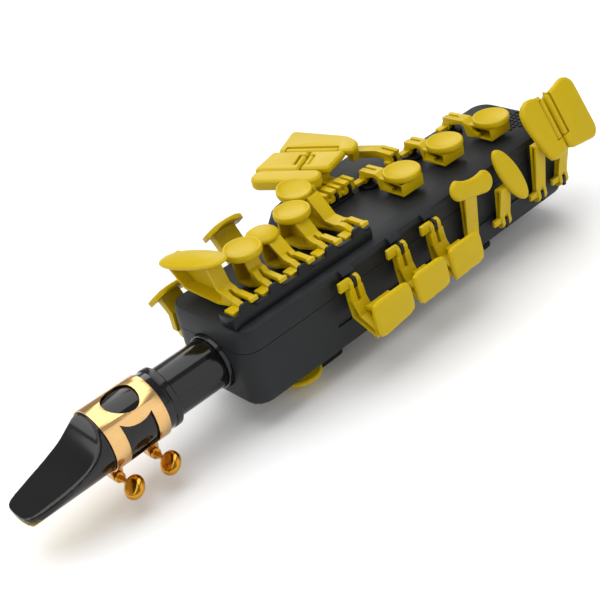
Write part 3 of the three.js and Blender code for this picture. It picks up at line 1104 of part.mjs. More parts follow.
// Inside pieces.
function boardSolid() {
  const b = board;
  const z = b.lift + b.thick;
  const plate = block(b.from, b.to, -b.half, b.half, b.lift, z);
  const port = block(
    b.to - sockets.portLong, housing.length - fit.seat, sockets.portY - sockets.portWide / 2,
    sockets.portY + sockets.portWide / 2, z - fit.seat, z + fit.seat + sockets.portHigh,
  );
  const jackZ = z + fit.seat + sockets.jackR;
  const jack = cut(
    join(
      block(b.to - sockets.jackLong, b.to, sockets.jackY - sockets.jackR, sockets.jackY + sockets.jackR, z - b.thick / 2,
        jackZ + sockets.jackR),
      rodX(sockets.jackY, jackZ, sockets.jackR, b.to - fit.overrun, housing.length - fit.seat),
    ),
    rodX(sockets.jackY, jackZ, sockets.jackR * sockets.tipShare, b.to - sockets.jackLong / 2, housing.length + fit.overrun, facets.pin),
  );
  const chips = [0.3, 0.72].map((share) => {
    const x = b.from + (b.to - b.from) * share;
    return block(x - sockets.high, x + sockets.high, -sockets.high, sockets.high, z - b.thick / 2, z + b.thick / 2);
  });
  return join(plate, port, jack, chips[1]);
}

function speakerSolid() {
  const s = speaker;
  const z = top - housing.wall - fit.seat;
  const profile = [[0, -s.deep - s.magnetDeep], [s.magnet, -s.deep - s.magnetDeep], [s.magnet, -s.deep],
    [s.rim, -s.deep], [s.rim, -s.deep / 2], [s.radius, -s.deep / 3], [s.radius, 0], [s.rim, 0], [s.magnet, -s.deep / 3],
    [0, -s.deep / 4]];
  return solid(new THREE.LatheGeometry(profile.map(([a, b]) => new THREE.Vector2(a, b)), facets.hidden)
    .rotateX(Math.PI / 2).translate(grille.x, grille.y, z));
}

function tubeSolid() {
  const [x0, x1] = [collar.depth + fit.seat - collar.back, breath.sensorFrom - fit.seat];
  return cut(
    rodX(axis.y, axis.z, breath.tube, x0, x1, facets.pad),
    rodX(axis.y, axis.z, breath.bore, x0 - fit.overrun, x1 + fit.overrun, facets.lobe),
  );
}

function buttonSolid() {
  const b = button;
  const inner = housing.length - housing.wall - fit.seat;
  return join(
    block(inner - b.flangeThick, housing.length + b.proud, b.y - b.wide / 2, b.y + b.wide / 2, b.z - b.high / 2, b.z + b.high / 2),
    block(inner - b.flangeThick, inner, b.y - b.wide / 2 - b.flange, b.y + b.wide / 2 + b.flange,
      b.z - b.high / 2 - b.flange, b.z + b.high / 2 + b.flange),
  );
}

function screwSolid([x, y]) {
  const s = screw;
  return join(
    rodZ(x, y, s.shank, s.headDeep / 2, s.long, facets.pin),
    rodZ(x, y, s.head, fit.seat, s.headDeep - fit.seat, facets.lobe),
  );
}

// Assembly.
const placed = new THREE.Group();
placed.name = "in_working_frame";
placed.position.set(-hook.x, 0, -rest.level);

function piece(name, body, look) {
  const { vertProperties, triVerts } = body.getMesh();
  const geometry = new THREE.BufferGeometry();
  geometry.setAttribute("position", new THREE.BufferAttribute(new Float32Array(vertProperties), 3));
  geometry.setIndex(new THREE.BufferAttribute(new Uint32Array(triVerts), 1));
  geometry.computeVertexNormals();
  const mesh = new THREE.Mesh(geometry, new THREE.MeshStandardMaterial(finish[look]));
  mesh.name = name;
  placed.add(mesh);
}

const { upper, lower, screwSpots } = shells();
piece("upper_shell", upper, "charcoal");
piece("lower_shell", lower, "charcoal");
piece("socket_collar", collarSolid(), "ebonite");
piece("mouthpiece", mouthpieceSolid(), "ebonite");
piece("reed", reedSolid(), "cane");
piece("ligature", ligatureSolid(), "gilt");
screwPlaces().forEach((spot, i) => {
  piece(i === 0 ? "ligature_screw_rear" : "ligature_screw_front", thumbScrewSolid(spot), "giltDeep");
});

piece("breath_tube", tubeSolid(), "silicone");
piece("breath_sensor", block(
  breath.sensorFrom, breath.sensorFrom + breath.sensorLong, -breath.sensorWide / 2, breath.sensorWide / 2,
  board.lift + board.thick + fit.seat, board.lift + board.thick + fit.seat + breath.sensorHigh,
), "black");
piece("main_board", boardSolid(), "board");
piece("battery", block(
  battery.from, battery.from + battery.length, -battery.wide / 2, battery.wide / 2,
  board.lift + board.thick + fit.seat, board.lift + board.thick + fit.seat + battery.thick,
), "foil");
piece("speaker", speakerSolid(), "black");
piece("power_button", buttonSolid(), "black");
screwSpots.forEach((spot, i) => piece(`housing_screw_${i + 1}`, screwSolid(spot), "steel"));

piece("thumb_rest", restSolid(), "black");
piece("thumb_hook", hookSolid(), "black");
piece("strap_ring", strapSolid(), "steel");

piece("left_rail", railSolid(), "black");
railKeys.forEach((key, place) => piece(key.name, railLever(key, place), "yellow"));

stackKeys.forEach((key) => {
  const base = rodZ(key.x, stack.hingeY, stack.postBase, top + fit.seat, top + fit.seat + stack.postBaseHigh, facets.pad);
  piece(`post_${key.name.slice(4)}`, postSolid(stack.hingeY, stack.hingeUp, [key.x], base), "black");
  piece(key.name, stackKey(key), "yellow");
});

sideKeys.forEach((key) => piece(key.name, sideKey(key), "yellow"));
piece("key_high_f_sharp", kidneyKey(), "yellow");
piece("key_alternate_f_sharp", ovalKey(), "yellow");
piece("key_low_e_flat", littleLeftKey(), "yellow");
piece("key_low_c", littleRightKey(), "yellow");
piece("roller_low_e_flat", littleRoller(littleRollerX.left), "yellow");
piece("roller_low_c", littleRoller(littleRollerX.right), "yellow");

const tableParts = tableKeys();
const hingeBase = (x0, x1) => block(
  x0 - hinge.lug, x1 + hinge.lug, table.hingeY - hinge.lobe, table.hingeY + hinge.lobe, top + fit.seat,
  top + fit.seat + stack.postBaseHigh,
);
piece("table_hinge_front", postSolid(
  table.hingeY, table.hingeUp, [tableHinges.gSharp, tableHinges.cSharp, tableHinges.lowB],
  hingeBase(tableHinges.gSharp, tableHinges.lowB),
), "black");
piece("table_hinge_rear", postSolid(
  table.hingeY, table.hingeUp, [tableHinges.lowBFlat], hingeBase(tableHinges.lowBFlat, tableHinges.lowBFlat),
), "black");
piece("key_g_sharp", tableParts.gSharp, "yellow");
piece("key_c_sharp", tableParts.cSharp, "yellow");
piece("key_low_b", tableParts.lowB, "yellow");
piece("key_low_b_flat", tableParts.lowBFlat, "yellow");
piece("roller_c_sharp", tableParts.rollerC, "yellow");
piece("roller_low_b", tableParts.rollerB, "yellow");
piece("roller_low_b_flat", tableParts.rollerFlat, "yellow");

palmKeys.forEach((key) => piece(key.name, palmKey(key), "yellow"));
piece("key_octave", octaveKey(), "yellow");

const controller = new THREE.Group();
controller.name = "digital_wind_controller";
controller.add(placed);
export default controller;
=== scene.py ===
"""Digital wind controller: finishes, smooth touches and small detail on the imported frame.

Sizes are in millimetres in the same working frame as the part's source: x runs from the mouthpiece end face of the
housing, y = 0 is its middle, z = 0 its underside. A finished piece has its place in its mesh, in the row frame.
"""

import json
import math

import bpy
from mathutils import Matrix, Vector

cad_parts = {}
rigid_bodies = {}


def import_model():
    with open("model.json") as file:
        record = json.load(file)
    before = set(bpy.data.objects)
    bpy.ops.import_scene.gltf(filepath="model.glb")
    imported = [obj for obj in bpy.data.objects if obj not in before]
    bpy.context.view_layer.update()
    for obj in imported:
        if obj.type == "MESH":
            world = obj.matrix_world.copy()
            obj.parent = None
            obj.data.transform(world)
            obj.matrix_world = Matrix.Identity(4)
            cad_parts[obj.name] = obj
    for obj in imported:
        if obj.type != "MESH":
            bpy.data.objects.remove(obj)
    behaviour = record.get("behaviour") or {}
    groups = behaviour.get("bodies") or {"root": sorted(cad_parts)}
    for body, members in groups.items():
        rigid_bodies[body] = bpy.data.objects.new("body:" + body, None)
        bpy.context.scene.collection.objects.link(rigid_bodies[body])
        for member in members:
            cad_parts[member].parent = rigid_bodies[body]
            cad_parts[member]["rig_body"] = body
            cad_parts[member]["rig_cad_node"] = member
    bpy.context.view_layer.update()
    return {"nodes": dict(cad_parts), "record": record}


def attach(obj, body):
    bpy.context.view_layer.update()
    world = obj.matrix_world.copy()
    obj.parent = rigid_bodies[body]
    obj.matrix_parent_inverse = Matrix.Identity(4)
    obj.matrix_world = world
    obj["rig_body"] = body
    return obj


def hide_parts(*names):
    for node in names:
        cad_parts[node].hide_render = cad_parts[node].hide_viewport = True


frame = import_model()

bl_info = {
    "name": "Wind controller finish",
    "version": (1, 0, 0),
    "blender": (4, 5, 0),
    "location": "View3D > Sidebar > Controller",
    "description": "Dresses the packed wind controller with its finishes and fine shapes",
    "category": "Object",
}

MM = 0.001
TO_ROW = Vector((-0.150, 0.0, 0.012))
HEIGHT = 37.2
PARTING = 26.4
MOUTH_Z = 16.6


# Modelling helpers.

def only(obj):
    """Makes one object the selected and active one."""
    if bpy.context.object and bpy.context.object.mode != "OBJECT":
        bpy.ops.object.mode_set(mode="OBJECT")
    bpy.ops.object.select_all(action="DESELECT")
    obj.select_set(True)
    bpy.context.view_layer.objects.active = obj
    return obj


def new_piece(name):
    """Names the primitive that was just added."""
    obj = bpy.context.object
    obj.name = name
    obj.data.name = name
    return only(obj)


def choose(obj, kind, test):
    """Enters edit mode with only the faces, edges or vertices that pass the test selected."""
    only(obj)
    mesh = obj.data
    for group in (mesh.vertices, mesh.edges, mesh.polygons):
        group.foreach_set("select", [False] * len(group))
    group = {"VERT": mesh.vertices, "EDGE": mesh.edges, "FACE": mesh.polygons}[kind]
    for item in group:
        item.select = bool(test(item))
    bpy.context.tool_settings.mesh_select_mode = (kind == "VERT", kind == "EDGE", kind == "FACE")
    bpy.ops.object.mode_set(mode="EDIT")


def choose_all(obj):
    """Enters edit mode with the whole mesh selected."""
    only(obj)
    bpy.ops.object.mode_set(mode="EDIT")
    bpy.ops.mesh.select_all(action="SELECT")


def done():
    """Leaves edit mode."""
    bpy.ops.object.mode_set(mode="OBJECT")


def apply_modifier(obj, kind, **settings):
    """Adds a modifier with these settings and applies it."""
    only(obj)
    modifier = obj.modifiers.new(kind.lower(), kind)
    for key, value in settings.items():
        setattr(modifier, key, value)
    bpy.ops.object.modifier_apply(modifier=modifier.name)


def smooth(obj, degrees=32):
    """Smooth shading, with an edge kept sharp where its faces meet at more than these degrees."""
    only(obj)
    bpy.ops.object.shade_smooth_by_angle(angle=math.radians(degrees))


def sharp_keys(obj, low, high=181):
    """The edges, as pairs of vertices, where two faces meet at an angle between these degrees."""
    faces = {}
    for face in obj.data.polygons:
        for key in face.edge_keys:
            faces.setdefault(key, []).append(face.normal)
    found = set()
    for key, normals in faces.items():
        if len(normals) == 2 and low < math.degrees(normals[0].angle(normals[1], 0.0)) < high:
            found.add(key)
    return found


def corner_use(before, here, after, normal, on_before, on_after, width):
    """How much of the edge before and of the edge after a face's corner is used up by rounding either one."""
    if not (on_before or on_after):
        return 0.0, 0.0
    one, two = before - here, after - here
    angle = one.angle(two, math.pi)
    if one.cross(two).dot(normal) > 0.0:
        angle = 2.0 * math.pi - angle
    if on_before and on_after:
        used = max(width / math.tan(max(angle, 0.1) / 2.0), 0.0)
        return used, used
    if angle >= math.pi or math.sin(angle) < 0.12:
        return 0.0, 0.0
    beside, along = width / math.sin(angle), max(width / math.tan(angle), 0.0)
    return (along, beside) if on_before else (beside, along)


def crowded(points, corners, normal, keys, width):
    """Edges of a face that have another corner of it closer than the rounding needs."""
    count = len(corners)
    sides = [tuple(sorted((corners[i], corners[(i + 1) % count]))) for i in range(count)]
    rounded = {corner for i, corner in enumerate(corners) if sides[i] in keys or sides[i - 1] in keys}
    found = set()
    for i, side in enumerate(sides):
        if side not in keys:
            continue
        near = {corners[i - 1], corners[i], corners[(i + 1) % count], corners[(i + 2) % count]}
        start = points[corners[i]]
        along = points[corners[(i + 1) % count]] - start
        long = along.length
        along.normalize()
        inward = normal.cross(along)
        for corner in set(corners) - near:
            reach = points[corner] - start
            if -width < 2.0 * reach.dot(along) < 2.0 * long + width:
                if 0.0 < reach.dot(inward) < width * (2.1 if corner in rounded else 1.1):
                    found.add(side)
    return found


def roomy_keys(obj, width, degrees):
    """The edges sharper than these degrees that can be rounded this wide without meeting their neighbours."""
    mesh = obj.data
    points = [vertex.co.copy() for vertex in mesh.vertices]
    faces = [(list(face.vertices), face.normal.copy()) for face in mesh.polygons]
    keys = sharp_keys(obj, degrees)
    spoiled = True
    while spoiled:
        spoiled = set()
        for corners, normal in faces:
            count = len(corners)
            sides = [tuple(sorted((corners[i - 1], corners[i]))) for i in range(count)]
            used = dict.fromkeys(sides, 0.0)
            for i in range(count):
                before, after = sides[i], sides[(i + 1) % count]
                first, second = corner_use(
                    points[corners[i - 1]], points[corners[i]], points[corners[(i + 1) % count]], normal,
                    before in keys, after in keys, width,
                )
                used[before] += first
                used[after] += second
            for i, side in enumerate(sides):
                if used[side] > 0.92 * (points[side[0]] - points[side[1]]).length:
                    spoiled |= {side} & keys or {sides[i - 1], sides[(i + 1) % count]} & keys
        keys -= spoiled
    for corners, normal in faces:
        if len(corners) > 4:
            keys -= crowded(points, corners, normal, keys, width)
    return keys


def round_edges(obj, width, segments=2, degrees=35):
    """Rounds the edges that are sharper than these degrees and have room for it; width is in millimetres."""
    keys = roomy_keys(obj, width * MM, degrees)
    choose(obj, "EDGE", lambda edge: tuple(sorted(edge.vertices)) in keys)
    bpy.ops.mesh.bevel(offset=width * MM, segments=segments, profile=0.5, clamp_overlap=False, miter_outer="ARC")
    done()


def place(obj):
    """Puts the object's place and turn into its mesh."""
    only(obj)
    bpy.ops.object.transform_apply(location=True, rotation=True, scale=True)
    return obj


def settle(obj, body, slot, material, *nodes):
    """Moves a piece from the working frame to the row frame, gives it its body and finish, and hides the CAD nodes it
    replaces.
    """
    only(obj)
    obj.location = obj.location + TO_ROW
    place(obj)
    obj.data.materials.clear()
    obj.data.materials.append(material)
    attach(obj, body)
    if nodes:
        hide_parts(*nodes)
    return obj


def joined(first, *others):
    """Joins several objects into the first."""
    only(first)
    for other in others:
        other.select_set(True)
    bpy.ops.object.join()
    return bpy.context.object


def node_copy(node, name):
    """A copy of a CAD node in the working frame, with its loose triangles joined and its flat faces made whole."""
    source = frame["nodes"][node]
    obj = source.copy()
    obj.data = source.data.copy()
    bpy.context.scene.collection.objects.link(obj)
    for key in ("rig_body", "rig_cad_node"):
        del obj[key]
    obj.parent = None
    obj.name = name
    obj.data.name = name
    only(obj)
    if obj.data.has_custom_normals:
        bpy.ops.mesh.customdata_custom_splitnormals_clear()
    obj.location = -TO_ROW
    place(obj)
    choose_all(obj)
    bpy.ops.mesh.remove_doubles(threshold=0.004 * MM)
    bpy.ops.mesh.dissolve_limited(angle_limit=math.radians(0.6))
    done()
    return obj


def drop_faces(obj, test):
    """Takes away the faces whose middle passes the test and closes what that leaves open."""
    choose(obj, "FACE", lambda face: test(face.center / MM))
    bpy.ops.mesh.delete(type="FACE")
    bpy.ops.mesh.select_mode(type="EDGE")
    bpy.ops.mesh.select_all(action="DESELECT")
    bpy.ops.mesh.select_non_manifold()
    bpy.ops.mesh.fill_holes(sides=0)
    done()


def turned(name, profile, facets=72, middle=(0.0, 0.0, 0.0)):
    """A solid of revolution about z, drawn out ring by ring from [radius, height] pairs in millimetres."""
    (radius, height), rest = profile[0], profile[1:]
    bpy.ops.object.select_all(action="DESELECT")
    bpy.ops.mesh.primitive_circle_add(vertices=facets, radius=radius * MM, fill_type="NGON", location=(0, 0, height * MM))
    obj = place(new_piece(name))
    choose_all(obj)
    for next_radius, next_height in rest:
        bpy.ops.mesh.extrude_region_move(TRANSFORM_OT_translate={"value": (0, 0, (next_height - height) * MM)})
        share = next_radius / radius
        bpy.ops.transform.resize(value=(share, share, 1.0), center_override=(0, 0, next_height * MM))
        radius, height = next_radius, next_height
    bpy.ops.mesh.select_all(action="SELECT")
    bpy.ops.mesh.normals_make_consistent(inside=False)
    done()
    obj.location = Vector(middle) * MM
    return place(obj)


def tip(obj, axis, degrees):
    """Turns a piece at the origin about one axis and puts the turn into its mesh."""
    obj.rotation_euler = [math.radians(degrees) if name == axis else 0.0 for name in "XYZ"]
    return place(obj)


def moved(obj, x, y, z):
    """Moves a piece by millimetres."""
    obj.location = Vector((x, y, z)) * MM
    return place(obj)


def prism(name, outline, low, high, plane="XY"):
    """An outline in millimetres drawn out between two levels, across the plane it is drawn in."""
    bpy.ops.object.select_all(action="DESELECT")
    bpy.ops.mesh.primitive_circle_add(vertices=len(outline), radius=MM, fill_type="NGON")
    obj = new_piece(name)
    for vertex, (a, b) in zip(obj.data.vertices, outline):
        vertex.co = Vector({"XY": (a, b, low), "XZ": (a, low, b), "YZ": (low, a, b)}[plane]) * MM
    way = {"XY": (0, 0, 1), "XZ": (0, 1, 0), "YZ": (1, 0, 0)}[plane]
    choose_all(obj)
    bpy.ops.mesh.extrude_region_move(TRANSFORM_OT_translate={"value": [w * (high - low) * MM for w in way]})
    bpy.ops.mesh.select_all(action="SELECT")
    bpy.ops.mesh.normals_make_consistent(inside=False)
    done()
    return obj


def carve(obj, operation, *cutters):
    """Joins, cuts or keeps the common part with other pieces, which are used up."""
    for cutter in cutters:
        apply_modifier(obj, "BOOLEAN", object=cutter, operation=operation, solver="EXACT")
        bpy.data.objects.remove(cutter, do_unlink=True)
    return obj


def through(points, steps=6):
    """More points on a smooth line through the given ones."""
    out = []
    for i in range(len(points) - 1):
        before, a, b, after = (Vector(points[min(max(k, 0), len(points) - 1)]) for k in (i - 1, i, i + 1, i + 2))
        for step in range(steps):
            t = step / steps
            out.append(tuple(0.5 * (2 * a + (b - before) * t + (2 * before - 5 * a + 4 * b - after) * t * t
                                    + (3 * a - before - 3 * b + after) * t ** 3)))
    return [*out, tuple(points[-1])]


# Materials.

class Socket:
    """A shader socket that builds Math nodes when it is used in a sum."""

    def __init__(self, tree, socket):
        self.tree = tree
        self.socket = socket

    def _math(self, operation, a, b=None):
        node = self.tree.nodes.new("ShaderNodeMath")
        node.operation = operation
        for place_, value in enumerate((a, b)):
            if isinstance(value, Socket):
                self.tree.links.new(value.socket, node.inputs[place_])
            elif value is not None:
                node.inputs[place_].default_value = value
        return Socket(self.tree, node.outputs[0])

    def __add__(self, other):
        return self._math("ADD", self, other)

    __radd__ = __add__

    def __mul__(self, other):
        return self._math("MULTIPLY", self, other)

    __rmul__ = __mul__

    def __sub__(self, other):
        return self._math("SUBTRACT", self, other)

    def __rsub__(self, other):
        return self._math("SUBTRACT", other, self)

    def __pow__(self, other):
        return self._math("POWER", self, other)

    def clipped(self):
        return self._math("MAXIMUM", self._math("MINIMUM", self, 1.0), 0.0)


class Finish:
    """One procedural material."""

    def __init__(self, name):
        self.material = bpy.data.materials.new(name)
        self.material.use_nodes = True
        self.tree = self.material.node_tree
        self.shader = self.tree.nodes["Principled BSDF"]
        self.coords = self.tree.nodes.new("ShaderNodeTexCoord").outputs["Object"]

    def node(self, kind, settings=None, output=0, **sockets):
        made = self.tree.nodes.new(kind)
        for key, value in (settings or {}).items():
            setattr(made, key, value)
        for key, value in sockets.items():
            target = made.inputs[key.replace("_", " ")] if not key.startswith("in") else made.inputs[int(key[2:])]
            self.feed(target, value)
        return Socket(self.tree, made.outputs[output])

    def feed(self, target, value):
        if isinstance(value, Socket):
            self.tree.links.new(value.socket, target)
        elif isinstance(value, bpy.types.NodeSocket):
            self.tree.links.new(value, target)
        else:
            target.default_value = value

    def put(self, **sockets):
        for key, value in sockets.items():
            self.feed(self.shader.inputs[key.replace("_", " ")], value)
        return self

    def noise(self, scale, detail=4.0, roughness=0.5, stretch=None):
        vector = self.coords
        if stretch:
            vector = self.node("ShaderNodeMapping", Vector=self.coords, Scale=stretch)
        return self.node("ShaderNodeTexNoise", Vector=vector, Scale=scale, Detail=detail, Roughness=roughness)

    def cells(self, scale, feature="F1"):
        return self.node("ShaderNodeTexVoronoi", {"feature": feature}, Vector=self.coords, Scale=scale)

    def between(self, factor, low, high):
        """Goes from the low to the high value as the factor goes from 0 to 1."""
        return self.node("ShaderNodeMapRange", Value=factor, To_Min=low, To_Max=high)

    def window(self, value, start, end):
        """0 below the start, 1 above the end."""
        return self.node("ShaderNodeMapRange", Value=value, From_Min=start, From_Max=end)

    def tint(self, factor, first, second):
        node = self.tree.nodes.new("ShaderNodeMix")
        node.data_type = "RGBA"
        self.feed(node.inputs[0], factor)
        self.feed(node.inputs[6], first)
        self.feed(node.inputs[7], second)
        return Socket(self.tree, node.outputs[2])

    def relief(self, height, strength, depth_mm, normal=None):
        """Bumps the surface by a height of this many millimetres."""
        bump = self.tree.nodes.new("ShaderNodeBump")
        bump.inputs["Strength"].default_value = strength
        bump.inputs["Distance"].default_value = depth_mm * MM
        self.feed(bump.inputs["Height"], height)
        if normal is not None:
            self.feed(bump.inputs["Normal"], normal)
        self.feed(self.shader.inputs["Normal"], Socket(self.tree, bump.outputs[0]))
        return self


def moulded_black(name, base, light, rough, grain, gloss):
    """Spark-eroded black moulding: a fine even grain, faint cloudy sheen and slightly paler dust in the grain."""
    f = Finish(name)
    fine = f.noise(4200.0, 2.0, 0.6)
    cloud = f.noise(34.0, 4.0, 0.55)
    specks = f.window(f.noise(900.0, 3.0, 0.6), 0.62, 0.78)
    colour = f.tint(cloud * 0.5 + specks * 0.25, base, light)
    f.put(Base_Color=colour, Roughness=f.between(cloud * 0.7 + fine * 0.3, rough - 0.05, rough + 0.07))
    f.put(Specular_IOR_Level=gloss)
    f.relief(fine + cloud * 0.2, 0.5, grain)
    return f.material


def moulded_yellow(name, base, shade):
    """Satin yellow moulding with faint flow marks and a soft grain."""
    f = Finish(name)
    fine = f.noise(2600.0, 2.0, 0.55)
    flow = f.noise(52.0, 5.0, 0.6, (1.0, 2.4, 1.0))
    cloud = f.noise(18.0, 3.0, 0.5)
    f.put(Base_Color=f.tint((flow * 0.6 + cloud * 0.4 - 0.28).clipped(), base, shade))
    f.put(Roughness=f.between(flow * 0.6 + fine * 0.4, 0.26, 0.44))
    f.put(Subsurface_Weight=0.06, Subsurface_Radius=(1.0, 0.6, 0.1), Subsurface_Scale=0.002)
    f.put(Specular_IOR_Level=0.18)
    f.relief(fine * 0.7 + flow * 0.5, 0.4, 0.02)
    return f.material


def polished_ebonite(name):
    """Polished hard rubber: nearly black, with the faintest turning marks and handling haze."""
    f = Finish(name)
    haze = f.noise(60.0, 5.0, 0.6)
    turning = f.noise(420.0, 2.0, 0.5, (6.0, 0.25, 0.25))
    f.put(Base_Color=f.tint(haze, (0.0028, 0.003, 0.0034, 1), (0.0055, 0.0057, 0.0063, 1)))
    f.put(Roughness=f.between(haze * 0.8 + turning * 0.2, 0.05, 0.17))
    f.put(Specular_IOR_Level=0.34, Coat_Weight=0.1, Coat_Roughness=0.05)
    f.relief(turning, 0.15, 0.01)
    return f.material


def polished_gilt(name, pale, deep, rough):
    """Lacquered gilt metal: polishing lines round the band, small tonal clouds, fine scratches."""
    f = Finish(name)
    cloud = f.noise(70.0, 4.0, 0.5)
    lines = f.noise(1500.0, 3.0, 0.6, (0.08, 1.0, 1.0))
    scratch = f.window(f.noise(240.0, 2.0, 0.4, (1.0, 9.0, 9.0)), 0.66, 0.7)
    f.put(Base_Color=f.tint((cloud * 0.8 + lines * 0.2 - 0.1).clipped(), pale, deep), Metallic=1.0)
    f.put(Roughness=f.between(cloud * 0.4 + lines * 0.4 + scratch * 0.5, rough, rough + 0.14))
    f.relief(lines * 0.6 + scratch * 0.4, 0.12, 0.01)
    return f.material


def split_cane(name):
    """Reed cane: straight fibres along the reed, tan flecks and a paler cut vamp."""
    f = Finish(name)
    fibre = f.noise(900.0, 4.0, 0.6, (0.05, 1.0, 1.0))
    fleck = f.window(f.noise(420.0, 3.0, 0.6, (0.09, 1.0, 1.0)), 0.58, 0.72)
    base = f.tint(fibre, (0.73, 0.58, 0.24, 1), (0.55, 0.39, 0.12, 1))
    f.put(Base_Color=f.tint(fleck * 0.6, base, (0.34, 0.2, 0.06, 1)))
    f.put(Roughness=f.between(fibre, 0.5, 0.68))
    f.relief(fibre, 0.4, 0.03)
    return f.material


def plain_steel(name):
    """Drawn steel with fine lines and a few stains."""
    f = Finish(name)
    lines = f.noise(1300.0, 3.0, 0.6, (0.1, 1.0, 1.0))
    stain = f.noise(110.0, 4.0, 0.6)
    f.put(Base_Color=f.tint(stain, (0.46, 0.47, 0.49, 1), (0.3, 0.3, 0.31, 1)), Metallic=1.0)
    f.put(Roughness=f.between(lines * 0.5 + stain * 0.5, 0.22, 0.42))
    f.relief(lines, 0.2, 0.01)
    return f.material


def solder_mask(name):
    """Green circuit board: tracks under the mask, pale pads and glassy sheen."""
    f = Finish(name)
    tracks = f.window(f.node("ShaderNodeTexWave", {"wave_type": "BANDS", "bands_direction": "Y"},
                             Vector=f.coords, Scale=180.0, Distortion=2.2, Detail=1.0), 0.55, 0.62)
    pads = f.window(f.cells(260.0), 0.22, 0.16)
    green = f.tint(tracks, (0.006, 0.07, 0.024, 1), (0.014, 0.13, 0.045, 1))
    f.put(Base_Color=f.tint(pads, green, (0.6, 0.55, 0.42, 1)))
    f.put(Roughness=f.between(tracks, 0.3, 0.45), Metallic=pads * 0.6)
    f.relief(tracks * 0.6 + pads * 0.4, 0.5, 0.05)
    return f.material


def foil_pouch(name):
    """Battery pouch: dull foil with soft creases."""
    f = Finish(name)
    crease = f.noise(160.0, 5.0, 0.6)
    f.put(Base_Color=f.tint(crease, (0.36, 0.38, 0.41, 1), (0.22, 0.24, 0.27, 1)), Metallic=0.8)
    f.put(Roughness=f.between(crease, 0.32, 0.55))
    f.relief(crease, 0.6, 0.25)
    return f.material


def milky_silicone(name):
    """Silicone tube: milky, with a slight waxy unevenness."""
    f = Finish(name)
    wax = f.noise(300.0, 3.0, 0.5)
    f.put(Base_Color=f.tint(wax, (0.62, 0.64, 0.67, 1), (0.5, 0.52, 0.55, 1)))
    f.put(Roughness=f.between(wax, 0.45, 0.62), Subsurface_Weight=0.2, Subsurface_Scale=0.002)
    f.relief(wax, 0.3, 0.03)
    return f.material


def floor_paper(name, tone):
    """Studio paper: almost even, with a trace of tooth."""
    f = Finish(name)
    tooth = f.noise(700.0, 3.0, 0.6)
    wash = f.noise(3.0, 3.0, 0.5)
    pale = (tone, tone, tone, 1)
    f.put(Base_Color=f.tint(wash, pale, (tone * 0.985, tone * 0.985, tone * 0.985, 1)))
    f.put(Roughness=f.between(tooth, 0.7, 0.85))
    f.relief(tooth, 0.05, 0.05)
    return f.material


SLOT_OF = {m["node"]: m["material_slot"] for m in frame["record"]["subparts"]}
BODY_OF = {node: body for body, nodes in frame["record"]["behaviour"]["bodies"].items() for node in nodes}
MATERIALS = {}


def finishes():
    """Makes each finish once, from the colours in the panel."""
    if MATERIALS:
        return MATERIALS
    look = bpy.context.scene.controller_look
    MATERIALS.update({
        "charcoal": moulded_black("housing_charcoal", (*look.housing, 1), (0.022, 0.024, 0.026, 1), 0.48, 0.03, 0.2),
        "black": moulded_black("hinge_black", (0.0065, 0.0072, 0.008, 1), (0.012, 0.013, 0.0145, 1), 0.38, 0.02, 0.18),
        "yellow": moulded_yellow("key_yellow", (*look.keys, 1), (*[c * 0.86 for c in look.keys], 1)),
        "ebonite": polished_ebonite("mouthpiece_ebonite"),
        "cane": split_cane("reed_cane"),
        "gilt": polished_gilt("ligature_gilt", (0.78, 0.5, 0.22, 1), (0.7, 0.42, 0.16, 1), 0.16),
        "gilt_deep": polished_gilt("screw_gilt", (0.6, 0.3, 0.03, 1), (0.5, 0.22, 0.02, 1), 0.13),
        "steel": plain_steel("fastener_steel"),
        "board": solder_mask("board_green"),
        "foil": foil_pouch("battery_foil"),
        "silicone": milky_silicone("tube_silicone"),
    })
    return MATERIALS


def finish_of(node):
    return finishes()[SLOT_OF[node]]


def soften(node, width, segments=2, degrees=35, name=None):
    """A CAD node's copy with its edges rounded, ready to settle."""
    obj = node_copy(node, name or node + "_soft")
    round_edges(obj, width, segments, degrees)
    smooth(obj, 40)
    return obj


def dress(node, width, segments=2, degrees=35):
    """Replaces a CAD node by its softened copy."""
    obj = soften(node, width, segments, degrees, node + "_soft")
    return settle(obj, BODY_OF[node], SLOT_OF[node], finish_of(node), node)


# Sizes.

class ControllerLook(bpy.types.PropertyGroup):
    housing: bpy.props.FloatVectorProperty(
        name="Housing", description="Colour of the housing moulding", subtype="COLOR", size=3, min=0.0, max=1.0,
        default=(0.0135, 0.0148, 0.016),
    )
    keys: bpy.props.FloatVectorProperty(
        name="Keys", description="Colour of the keys", subtype="COLOR", size=3, min=0.0, max=1.0,
        default=(0.56, 0.395, 0.002),
    )


class ControllerShape(bpy.types.PropertyGroup):
    edge: bpy.props.FloatProperty(
        name="Lever edge", description="Rounding of the lever edges in millimetres", default=0.22, min=0.05, max=0.6,
    )
    facets: bpy.props.IntProperty(
        name="Round facets", description="Faces round a finger touch", default=72, min=24, max=160,
    )


class ControllerStage(bpy.types.PropertyGroup):
    floor: bpy.props.FloatProperty(
        name="Floor tone", description="How pale the floor is", default=0.94, min=0.2, max=1.0, subtype="FACTOR",
    )
    key_light: bpy.props.FloatProperty(
        name="Key light", description="Power of the large overhead light in watts", default=14.5, min=0.0, max=200.0,
    )


# Stage.

